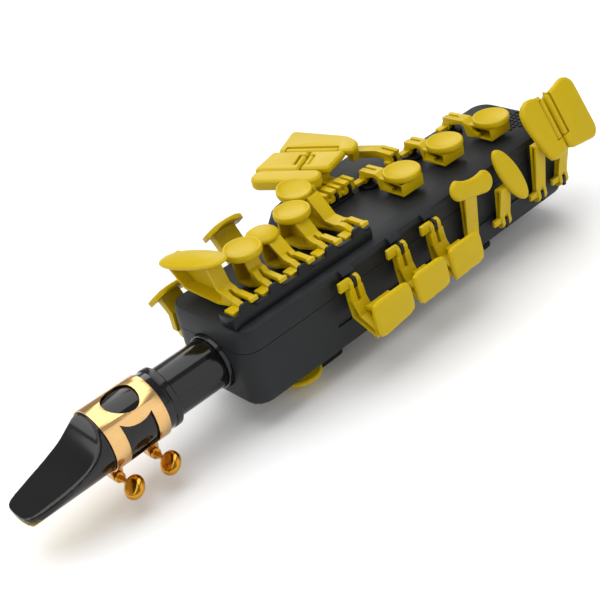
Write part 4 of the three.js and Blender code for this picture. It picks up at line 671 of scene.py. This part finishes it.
class CONTROLLER_OT_stage(bpy.types.Operator):
    """Floor, soft lights and the camera at the photograph's angle"""
    bl_idname = "controller.stage"
    bl_label = "Stage"

    def execute(self, context):
        settings = context.scene.controller_stage
        bpy.ops.object.select_all(action="DESELECT")
        bpy.ops.mesh.primitive_plane_add(size=6.0, location=(0.0, 0.0, -0.0005))
        floor = new_piece("studio_floor")
        place(floor)
        floor.data.materials.append(floor_paper("floor_paper", settings.floor))

        data = bpy.data.cameras.new("photo_camera")
        camera = bpy.data.objects.new("photo_camera", data)
        context.scene.collection.objects.link(camera)
        right = Vector((0.7153, -0.6697, -0.1997))
        up = Vector((0.494, 0.2824, 0.8223))
        back = right.cross(up)
        turn = Matrix((right, up, back)).transposed().to_4x4()
        camera.matrix_world = Matrix.Translation((-0.3518, -0.3486, 0.2992)) @ turn
        data.sensor_width = 36.0
        data.lens = 36.0 * 1191.35 / 600.0
        data.clip_start = 0.01
        data.clip_end = 20.0
        context.scene.camera = camera

        for name, power, size, spot, aim in (
            ("sky_soft", settings.key_light, 1.45, (-0.05, 0.25, 1.15), (0.0, 0.0, 0.02)),
            ("side_soft", 3.8, 0.9, (-0.9, 0.35, 0.55), (0.0, 0.0, 0.02)),
            ("front_soft", 4.2, 1.2, (0.2, -1.0, 0.45), (0.02, 0.0, 0.02)),
            ("rim_soft", 1.8, 0.5, (0.5, 0.8, 0.55), (0.0, 0.0, 0.03)),
        ):
            light = bpy.data.lights.new(name, "AREA")
            light.energy = power
            light.size = size
            holder = bpy.data.objects.new(name, light)
            context.scene.collection.objects.link(holder)
            holder.location = spot
            holder.rotation_mode = "QUATERNION"
            holder.rotation_quaternion = (Vector(spot) - Vector(aim)).to_track_quat("Z", "Y")

        world = bpy.data.worlds.new("studio_air")
        world.use_nodes = True
        world.node_tree.nodes["Background"].inputs[0].default_value = (1.0, 1.0, 1.0, 1.0)
        world.node_tree.nodes["Background"].inputs[1].default_value = 0.36
        context.scene.world = world
        context.scene.view_settings.view_transform = "Standard"
        return {"FINISHED"}


# Keys.

TOUCHES = {
    "key_front_f": dict(kind="domed", x=9.5, y=10.5, lift=22.2, radius=6.8, half=19.0, thick=4.2, tilt=-0.2, swing=0.16,
                        full=2.45),
    "key_b": dict(kind="dished", x=27.0, y=-0.5, lift=19.0, radius=8.25, thick=3.6),
    "key_bis": dict(kind="domed", x=41.8, y=5.1, lift=17.4, radius=7.2, thick=4.2),
    "key_a": dict(kind="dished", x=59.2, y=5.0, lift=17.8, radius=8.25, round=8.1, thick=3.6),
    "key_g": dict(kind="dished", x=71.2, y=16.0, lift=19.0, radius=8.0, round=7.9, thick=3.6, tilt=0.16),
    "key_f": dict(kind="dished", x=115.0, y=-5.0, lift=11.29, radius=8.5, thick=3.5),
    "key_e": dict(kind="dished", x=144.5, y=-4.0, lift=11.29, radius=8.5, thick=3.5),
    "key_d": dict(kind="dished", x=172.5, y=-8.0, lift=11.29, radius=8.5, thick=3.5),
}


def touch_matrix(spec):
    """Where a touch lies: its top at the origin, tilted, swung and moved to its place, in metres."""
    stretch = Matrix.Diagonal((1.0, spec.get("half", spec["radius"]) / spec["radius"], 1.0, 1.0))
    turn = Matrix.Rotation(spec.get("swing", 0.0), 4, "Z") @ Matrix.Rotation(spec.get("tilt", 0.0), 4, "X")
    return Matrix.Translation(Vector((spec["x"], spec["y"], HEIGHT + spec["lift"])) * MM) @ turn @ stretch


def touch_profile(kind, radius, thick):
    """From the middle of the underside out to the rim and in over the top."""
    under = [[0.4, -thick], [radius - 1.5, -thick], [radius - 0.7, 0.22 - thick], [radius - 0.18, 0.75 - thick]]
    if kind == "dished":
        rim = [[radius, 1.5 - thick], [radius, -0.8], [radius - 0.07, -0.42], [radius - 0.28, -0.14], [radius - 0.6, -0.02],
               [radius - 0.95, -0.06]]
        bowl = [(0.82, -0.12), (0.72, -0.2), (0.58, -0.265), (0.42, -0.315), (0.25, -0.345), (0.1, -0.355), (0.01, -0.357)]
        return [*under, *rim, *[[radius * out, thick * up] for out, up in bowl]]
    rim = [[radius, 1.3 - thick], [radius - 0.1, -0.62 * thick + 0.3], [radius - 0.45, -0.45 * thick + 0.1],
           [radius - 0.95, -0.37 * thick]]
    crown = [(0.78, -0.245), (0.65, -0.15), (0.5, -0.08), (0.33, -0.032), (0.16, -0.008), (0.01, 0.0)]
    return [*under, *rim, *[[radius * out, thick * up] for out, up in crown]]


def curve_bends(obj, width, test, low=9, high=78, segments=6):
    """Turns the bends of an arm into curves: edges across the arm that pass the test are rounded widely."""
    keys = sharp_keys(obj, low, high)
    points = obj.data.vertices

    def wanted(edge):
        a, b = (points[i].co for i in edge.vertices)
        return tuple(sorted(edge.vertices)) in keys and test((a + b) / 2 / MM, (b - a) / MM)

    choose(obj, "EDGE", wanted)
    bpy.ops.mesh.bevel(offset=width * MM, segments=segments, profile=0.5, clamp_overlap=True)
    done()


BOXES = {"key_f": (111.8, 10.7, 25.3), "key_e": (141.6, 9.9, 23.5), "key_d": (168.6, 13.0, 27.5)}


def open_box(obj, node):
    """Hollows the box under a right-hand touch out to thin walls, behind and beyond the blade of its arm."""
    hinge_x, near, far = BOXES[node]
    middle, long = TOUCHES[node]["x"], far - near
    low, high = HEIGHT + 2.8, HEIGHT + 6.9
    first, last = 14.5 - far + 0.9, 14.5 - near - 0.9
    at = [14.5 - near - long * share for share in (0.18, 0.34, 0.54)]
    room = prism("box_room", [(first, low), (last, low), (last, high), (first, high)],
                 hinge_x - 1.3, middle + 5.7, "YZ")
    mouth = prism("box_mouth", [(first, low), (at[2], low), (at[2], low + 2.1), (at[1], low + 2.5), (at[0], high), (first, high)],
                  middle - 8.0, middle + 5.6, "YZ")
    carve(obj, "DIFFERENCE", room, mouth)


def fill_out(obj, power):
    """Makes a round outline fuller between its four far points, and sinks it by the height that this adds."""
    for vertex in obj.data.vertices:
        vertex.co.z -= 0.35 * MM
        far = math.hypot(vertex.co.x, vertex.co.y)
        if far > 0.0:
            share = (abs(vertex.co.x / far) ** power + abs(vertex.co.y / far) ** power) ** (-1.0 / power)
            vertex.co.x *= share
            vertex.co.y *= share


class CONTROLLER_OT_touches(bpy.types.Operator):
    """Round and oval finger touches, with a rounded rim and a bowl or a crown"""
    bl_idname = "controller.touches"
    bl_label = "Finger touches"

    def execute(self, context):
        made = {}
        for node, spec in TOUCHES.items():
            size = (spec["kind"], spec.get("round", spec["radius"]), spec["thick"])
            if size in made:
                obj = made[size].copy()
                obj.data = made[size].data.copy()
                context.scene.collection.objects.link(obj)
                obj.name = obj.data.name = node + "_touch"
            else:
                obj = turned(node + "_touch", touch_profile(*size), context.scene.controller_shape.facets)
                made[size] = obj.copy()
                made[size].data = obj.data.copy()
            only(obj)
            if "full" in spec:
                fill_out(obj, spec["full"])
            obj.data.transform(touch_matrix(spec))
            smooth(obj, 60)
            settle(obj, BODY_OF[node], SLOT_OF[node], finish_of(node))
        for spare in made.values():
            bpy.data.objects.remove(spare)
        return {"FINISHED"}


class CONTROLLER_OT_levers(bpy.types.Operator):
    """Levers under the finger touches: curved necks and rounded edges"""
    bl_idname = "controller.levers"
    bl_label = "Levers"

    def execute(self, context):
        for node, spec in TOUCHES.items():
            back = touch_matrix(spec).inverted()
            radius, thick = spec["radius"], spec["thick"]

            def in_touch(middle):
                local = back @ (middle * MM) / MM
                return local.z > -thick - 0.06 and math.hypot(local.x, local.y) < radius + 0.12

            obj = node_copy(node, node + "_lever")
            drop_faces(obj, in_touch)
            if node in BOXES:
                open_box(obj, node)
            curve_bends(obj, 1.7, lambda at, way: abs(way.x) > 2.0 and abs(way.y) + abs(way.z) < 0.1)
            round_edges(obj, context.scene.controller_shape.edge, 2, 38)
            smooth(obj, 42)
            settle(obj, BODY_OF[node], SLOT_OF[node], finish_of(node), node)
        return {"FINISHED"}


def oval_plate(obj, power=2.2):
    """Cuts the corners of a palm key's sloping plate, so that its outline is a full oval."""
    face = max((f for f in obj.data.polygons if f.normal.z > 0.3 and f.normal.y > 0.2), key=lambda f: f.area)
    up = Vector((0.0, face.normal.y, face.normal.z)).normalized()
    down_slope = Vector((0.0, up.z, -up.y))
    points = [vertex.co / MM for vertex in obj.data.vertices]
    level = max(point.dot(up) for point in points)
    top = [point for point in points if point.dot(up) > level - 1.6]
    left_x, right_x = min(point.x for point in top), max(point.x for point in top)
    near, far = min(point.dot(down_slope) for point in top), max(point.dot(down_slope) for point in top)
    half_x, half_y = (right_x - left_x) / 2.0, (far - near) / 2.0
    quarter = [math.radians(6 * step) for step in range(16)]
    for side in (-1, 1):
        for end in (-1, 1):
            bow = [(math.cos(a) ** (2 / power) if a < 1.57 else 0.0, math.sin(a) ** (2 / power)) for a in quarter]
            outline = [*bow, (0.0, 1.5), (1.5, 1.5), (1.5, 0.0)]
            corner = prism("plate_corner", [
                ((left_x + right_x) / 2.0 + side * half_x * a, (near + far) / 2.0 + end * half_y * b) for a, b in outline
            ], level - 6.0, level + 2.0)
            tip(corner, "X", math.degrees(math.atan2(-up.y, up.z)))
            carve(obj, "DIFFERENCE", corner)


class CONTROLLER_OT_flank_keys(bpy.types.Operator):
    """Side keys, keys along the lower edge, palm keys and the thumb's octave key"""
    bl_idname = "controller.flank_keys"
    bl_label = "Flank keys"

    def execute(self, context):
        edge = context.scene.controller_shape.edge
        for node in ("key_side_e", "key_side_c", "key_side_b_flat"):
            obj = node_copy(node, node + "_soft")
            curve_bends(obj, 1.6, lambda at, way: abs(way.x) > 1.2 and abs(way.y) + abs(way.z) < 0.1 and at.y > -32)
            round_edges(obj, edge, 2, 35)
            smooth(obj, 42)
            settle(obj, BODY_OF[node], SLOT_OF[node], finish_of(node), node)
        for node in ("key_palm_d", "key_palm_e_flat", "key_palm_f"):
            obj = node_copy(node, node + "_soft")
            oval_plate(obj)
            round_edges(obj, edge, 2, 35)
            smooth(obj, 42)
            settle(obj, BODY_OF[node], SLOT_OF[node], finish_of(node), node)
        for node in ("key_high_f_sharp", "key_alternate_f_sharp", "key_low_e_flat", "key_low_c", "key_octave"):
            dress(node, edge)
        return {"FINISHED"}


class CONTROLLER_OT_table(bpy.types.Operator):
    """Left little-finger table with its plates and rollers, and the rollers of the right-hand plates"""
    bl_idname = "controller.table"
    bl_label = "Little-finger table"

    def execute(self, context):
        edge = context.scene.controller_shape.edge
        for node in ("key_g_sharp", "key_c_sharp", "key_low_b", "key_low_b_flat"):
            dress(node, edge)
        for node in ("roller_c_sharp", "roller_low_b", "roller_low_b_flat", "roller_low_e_flat", "roller_low_c"):
            dress(node, 0.3)
        return {"FINISHED"}


# Housing.

class CONTROLLER_OT_hinges(bpy.types.Operator):
    """Comb rail, hinge posts and hinge blocks"""
    bl_idname = "controller.hinges"
    bl_label = "Hinge pieces"

    def execute(self, context):
        for node in ("left_rail", "post_f", "post_e", "post_d", "table_hinge_front", "table_hinge_rear"):
            dress(node, 0.35)
        return {"FINISHED"}


def grille_slots(x, y, radius, along, across):
    """Round-ended slanting slots in rows inside a circle, every other row shifted by half a step."""
    nose = [(math.cos(math.radians(a)) * 0.62, math.sin(math.radians(a)) * 0.62) for a in range(-90, 91, 30)]
    outline = [*[(0.55 + a, b) for a, b in nose], *[(-0.55 - a, -b) for a, b in nose]]
    first = tip(prism("grille_slot", outline, HEIGHT - 4.0, HEIGHT + 1.0), "Z", -45)
    slots = []
    rows, columns = int(radius / across), math.ceil(radius / along)
    for row in range(-rows, rows + 1):
        for column in range(-columns, columns + 1):
            u, v = column * along + (along / 2.0 if row % 2 else 0.0), row * across
            if math.hypot(u, v) + 1.05 <= radius:
                slot = first.copy()
                slot.data = first.data.copy()
                bpy.context.scene.collection.objects.link(slot)
                slots.append(moved(slot, x + (u + v) * math.sqrt(0.5), y + (v - u) * math.sqrt(0.5), 0))
    bpy.data.objects.remove(first)
    return joined(*slots)


class CONTROLLER_OT_shells(bpy.types.Operator):
    """The two halves of the housing, with the slots over the loudspeaker"""
    bl_idname = "controller.shells"
    bl_label = "Housing shells"

    def execute(self, context):
        for node in ("upper_shell", "lower_shell"):
            obj = node_copy(node, node + "_soft")
            if node == "upper_shell":
                carve(obj, "DIFFERENCE", grille_slots(187.0, -3.0, 11.6, 3.3, 1.9))
            smooth(obj, 34)
            settle(obj, BODY_OF[node], SLOT_OF[node], finish_of(node), node)
        return {"FINISHED"}


# Mouthpiece.

def soften_beak(beak, tip_x, table):
    """Flows the ramp of the beak into its round sides; the table, the tip and the joint keep their shape."""
    apply_modifier(beak, "REMESH", mode="VOXEL", voxel_size=0.45 * MM)
    group = beak.vertex_groups.new(name="soft")
    for vertex in beak.data.vertices:
        at = vertex.co / MM
        amount = min((at.x - tip_x - 1.5) / 8.0, (-59.5 - at.x) / 3.0, (at.z - table - 1.0) / 2.0, 1.0)
        if amount > 0.0:
            group.add([vertex.index], amount, "REPLACE")
    apply_modifier(beak, "SMOOTH", factor=0.6, iterations=26, vertex_group="soft")
    beak.vertex_groups.clear()


class CONTROLLER_OT_mouthpiece(bpy.types.Operator):
    """Mouthpiece: turned body, beak, table, window and bore"""
    bl_idname = "controller.mouthpiece"
    bl_label = "Mouthpiece"

    def execute(self, context):
        tip_x, back, long = -99.0, 13.0, 38.0
        table, crown = MOUTH_Z - 9.7, MOUTH_Z + 13.0
        rings = [[11.0, -13.0], [11.2, -12.8], [11.2, 26.9], [11.3, 27.0], [13.1, 27.0], [13.24, 27.15], [13.3, 27.4],
                 [13.3, 29.4], [13.24, 29.75], [13.06, 29.95], [12.86, 30.2], [12.86, 30.5], [13.0, 30.8], [13.0, 101.0]]
        body = turned("mouthpiece_body", rings, 144)
        tip(body, "Y", -90)
        moved(body, 0, 0, MOUTH_Z)
        ramp = through([(0.0, 0.137), (0.13, 0.17), (0.3, 0.225), (0.5, 0.295), (0.66, 0.375), (0.78, 0.46), (0.87, 0.565),
                        (0.94, 0.7), (0.99, 0.87), (1.02, 1.03)], 6)
        side = prism("beak_side", [
            (back + 1, crown + 2), (back + 1, MOUTH_Z - 15), (-32.5, MOUTH_Z - 15), (-32.5, table), (tip_x + 24, table),
            (tip_x + 16, table + 0.25), (tip_x + 9, table + 0.75), (tip_x + 4, table + 1.25), (tip_x, table + 1.7),
            *[(tip_x + long * along, table + (crown - table) * up) for along, up in ramp],
            (tip_x + long * 1.02, crown + 2),
        ], -20, 20, "XZ")
        edge = through([(0.0, 0.2), (0.012, 0.42), (0.035, 0.56), (0.07, 0.65), (0.13, 0.73), (0.24, 0.81), (0.42, 0.905),
                        (0.62, 0.975), (0.8, 1.005)], 5)
        near = [(tip_x + long * along, 13.0 * out) for along, out in edge]
        plan = prism("beak_plan", [
            (back + 1, 16), *[(x, y) for x, y in reversed([*near, (near[-1][0] + 0.5, 16)])],
            *[(x, -y) for x, y in [*near, (near[-1][0] + 0.5, 16)]], (back + 1, -16),
        ], MOUTH_Z - 16, MOUTH_Z + 16)
        carve(body, "INTERSECT", side, plan)
        beak = body.copy()
        beak.data = body.data.copy()
        context.scene.collection.objects.link(beak)
        carve(beak, "INTERSECT", prism("beak_half", [(-110, -20), (-56, -20), (-56, 20), (-110, 20)], -10, 50))
        carve(body, "INTERSECT", prism("barrel_half", [(-57.5, -20), (20, -20), (20, 20), (-57.5, 20)], -10, 50))
        soften_beak(beak, tip_x, table)
        carve(body, "UNION", beak)
        bore = turned("mouthpiece_bore", [[7.5, -60.0], [7.5, 16.0]], 64)
        tip(bore, "Y", 90)
        moved(bore, 0, 0, MOUTH_Z)
        chamber = prism("mouthpiece_chamber", [
            (-52.5, MOUTH_Z), (-60, table - 3), (-91, table - 3), (tip_x + long * 0.2, table + (crown - table) * 0.1),
            (tip_x + long * 0.5, table + (crown - table) * 0.18), (tip_x + long * 0.97, table + (crown - table) * 0.38),
        ], -5.8, 5.8, "XZ")
        carve(body, "DIFFERENCE", bore, chamber)
        smooth(body, 38)
        settle(body, "housing", "ebonite", finishes()["ebonite"], "mouthpiece")
        dress("reed", 0.15)
        dress("socket_collar", 0.3)
        return {"FINISHED"}


SCREWS = {"ligature_screw_rear": (-40.5, -0.8), "ligature_screw_front": (-58.1, 0.0)}


class CONTROLLER_OT_ligature(bpy.types.Operator):
    """Gilt band with its openings and lugs"""
    bl_idname = "controller.ligature"
    bl_label = "Ligature"

    def execute(self, context):
        inner, outer, near, far = 13.3, 13.9, -60.0, -33.8
        band = turned("ligature_band", [[outer, near], [outer, far]], 160)
        tip(band, "Y", 90)
        lugs = []
        for x, z in SCREWS.values():
            for side in (-1, 1):
                lug = turned("lug", [[2.1, 0.0], [2.4, 0.3], [2.4, 3.9], [2.1, 4.2]], 40)
                tip(lug, "X", -90 * side)
                moved(lug, x, side * 0.9, z - MOUTH_Z)
                low, high = sorted((side * 0.9, side * 5.1))
                root = prism("lug_root", [(x - 2.4, z - MOUTH_Z), (x + 2.4, z - MOUTH_Z), (x + 3.0, -inner + 1), (x - 3.0, -inner + 1)],
                             low, high, "XZ")
                lugs += [lug, root]
        carve(band, "UNION", *lugs)
        moved(band, 0, 0, MOUTH_Z)
        inside = turned("ligature_inside", [[inner, near - 1], [inner, far + 1]], 160)
        tip(inside, "Y", 90)
        moved(inside, 0, 0, MOUTH_Z)
        slit = prism("ligature_slit", [(near - 1, -0.9), (far + 1, -0.9), (far + 1, 0.9), (near - 1, 0.9)], MOUTH_Z - 24, MOUTH_Z)
        rim = through([(-7.2, 0.0), (-7.05, 1.6), (-6.0, 3.7), (-3.2, 6.1), (0.9, 7.5), (4.4, 6.9), (6.5, 4.4), (7.2, 1.4), (7.2, 0.0)], 5)
        egg = prism("ligature_egg", [(x, -y) for x, y in rim[:-1]] + [(x, y) for x, y in reversed(rim[1:])], 6.5, 17)
        tip(egg, "X", 13)
        moved(egg, -46.5, 0, MOUTH_Z)
        top_edge = through([(-53.2, 24.9), (-50.6, 23.1), (-47.0, 22.0), (-43.4, 21.95), (-40.8, 22.6), (-39.4, 23.3)], 5)
        windows = [
            prism("ligature_window", [*top_edge, (-39.4, 8.0), (-53.2, 7.2)], *sorted((side * 6.6, side * 16)), "XZ")
            for side in (-1, 1)
        ]
        bores = []
        for x, z in SCREWS.values():
            bore = turned("lug_bore", [[1.7, -7.0], [1.7, 7.0]], 32)
            tip(bore, "X", 90)
            bores.append(moved(bore, x, 0, z))
        carve(band, "DIFFERENCE", inside, slit, egg, *windows, *bores)
        round_edges(band, 0.12, 2, 30)
        smooth(band, 36)
        settle(band, "housing", "gilt", finishes()["gilt"], "ligature")
        return {"FINISHED"}


class CONTROLLER_OT_thumb_screws(bpy.types.Operator):
    """The two thumb screws of the ligature: shank, collar, neck and a thick rounded head"""
    bl_idname = "controller.thumb_screws"
    bl_label = "Thumb screws"

    def execute(self, context):
        for node, (x, z) in SCREWS.items():
            shank = turned(node + "_turned", [
                [0.9, -6.4], [1.4, -5.9], [1.4, 5.4], [2.0, 5.4], [2.2, 5.6], [2.2, 6.4], [1.9, 6.6], [1.2, 6.75], [1.0, 7.2],
                [1.25, 7.7], [1.3, 8.4], [1.05, 9.0], [1.0, 10.2], [1.5, 11.2], [1.5, 15.5],
            ], 40)
            tip(shank, "X", 90)
            head = turned(node + "_head", [
                [0.3, -2.2], [2.6, -2.15], [3.5, -2.0], [4.2, -1.66], [4.7, -1.1], [4.95, -0.5], [5.0, 0.0], [4.95, 0.5],
                [4.7, 1.1], [4.2, 1.66], [3.5, 2.0], [2.6, 2.15], [0.3, 2.2],
            ], 72)
            tip(head, "Y", -45)
            moved(head, 0, -15.6, 0)
            carve(shank, "UNION", head)
            moved(shank, x, 0, z)
            smooth(shank, 32)
            settle(shank, node, "gilt_deep", finishes()["gilt_deep"], node)
        return {"FINISHED"}


# Pieces that keep their solids.

class CONTROLLER_OT_fittings(bpy.types.Operator):
    """Underside fittings, screws and the pieces inside, with their finishes"""
    bl_idname = "controller.fittings"
    bl_label = "Fittings"

    def execute(self, context):
        for node, obj in frame["nodes"].items():
            obj.data.materials.clear()
            obj.data.materials.append(finish_of(node))
        for node in ("thumb_rest", "thumb_hook", "strap_ring", "power_button"):
            dress(node, 0.4)
        return {"FINISHED"}


class VIEW3D_PT_controller(bpy.types.Panel):
    """Lists the pieces and their sizes"""
    bl_label = "Wind controller"
    bl_space_type = "VIEW_3D"
    bl_region_type = "UI"
    bl_category = "Controller"

    def draw(self, context):
        layout = self.layout
        for group in (context.scene.controller_look, context.scene.controller_shape, context.scene.controller_stage):
            for key in group.__annotations__:
                layout.prop(group, key)
        for operator in OPERATORS:
            layout.operator(operator.bl_idname)


OPERATORS = (
    CONTROLLER_OT_stage, CONTROLLER_OT_shells, CONTROLLER_OT_hinges, CONTROLLER_OT_levers, CONTROLLER_OT_touches,
    CONTROLLER_OT_flank_keys, CONTROLLER_OT_table, CONTROLLER_OT_mouthpiece, CONTROLLER_OT_ligature,
    CONTROLLER_OT_thumb_screws, CONTROLLER_OT_fittings,
)
GROUPS = {
    "controller_look": ControllerLook,
    "controller_shape": ControllerShape,
    "controller_stage": ControllerStage,
}


def register():
    for group in GROUPS.values():
        bpy.utils.register_class(group)
    for operator in OPERATORS:
        bpy.utils.register_class(operator)
    bpy.utils.register_class(VIEW3D_PT_controller)
    for key, group in GROUPS.items():
        setattr(bpy.types.Scene, key, bpy.props.PointerProperty(type=group))


def unregister():
    for key in GROUPS:
        delattr(bpy.types.Scene, key)
    bpy.utils.unregister_class(VIEW3D_PT_controller)
    for kind in (*reversed(OPERATORS), *GROUPS.values()):
        bpy.utils.unregister_class(kind)


def main():
    register()
    for operator in OPERATORS:
        group, name = operator.bl_idname.split(".")
        getattr(getattr(bpy.ops, group), name)()


if __name__ == "__main__":
    main()
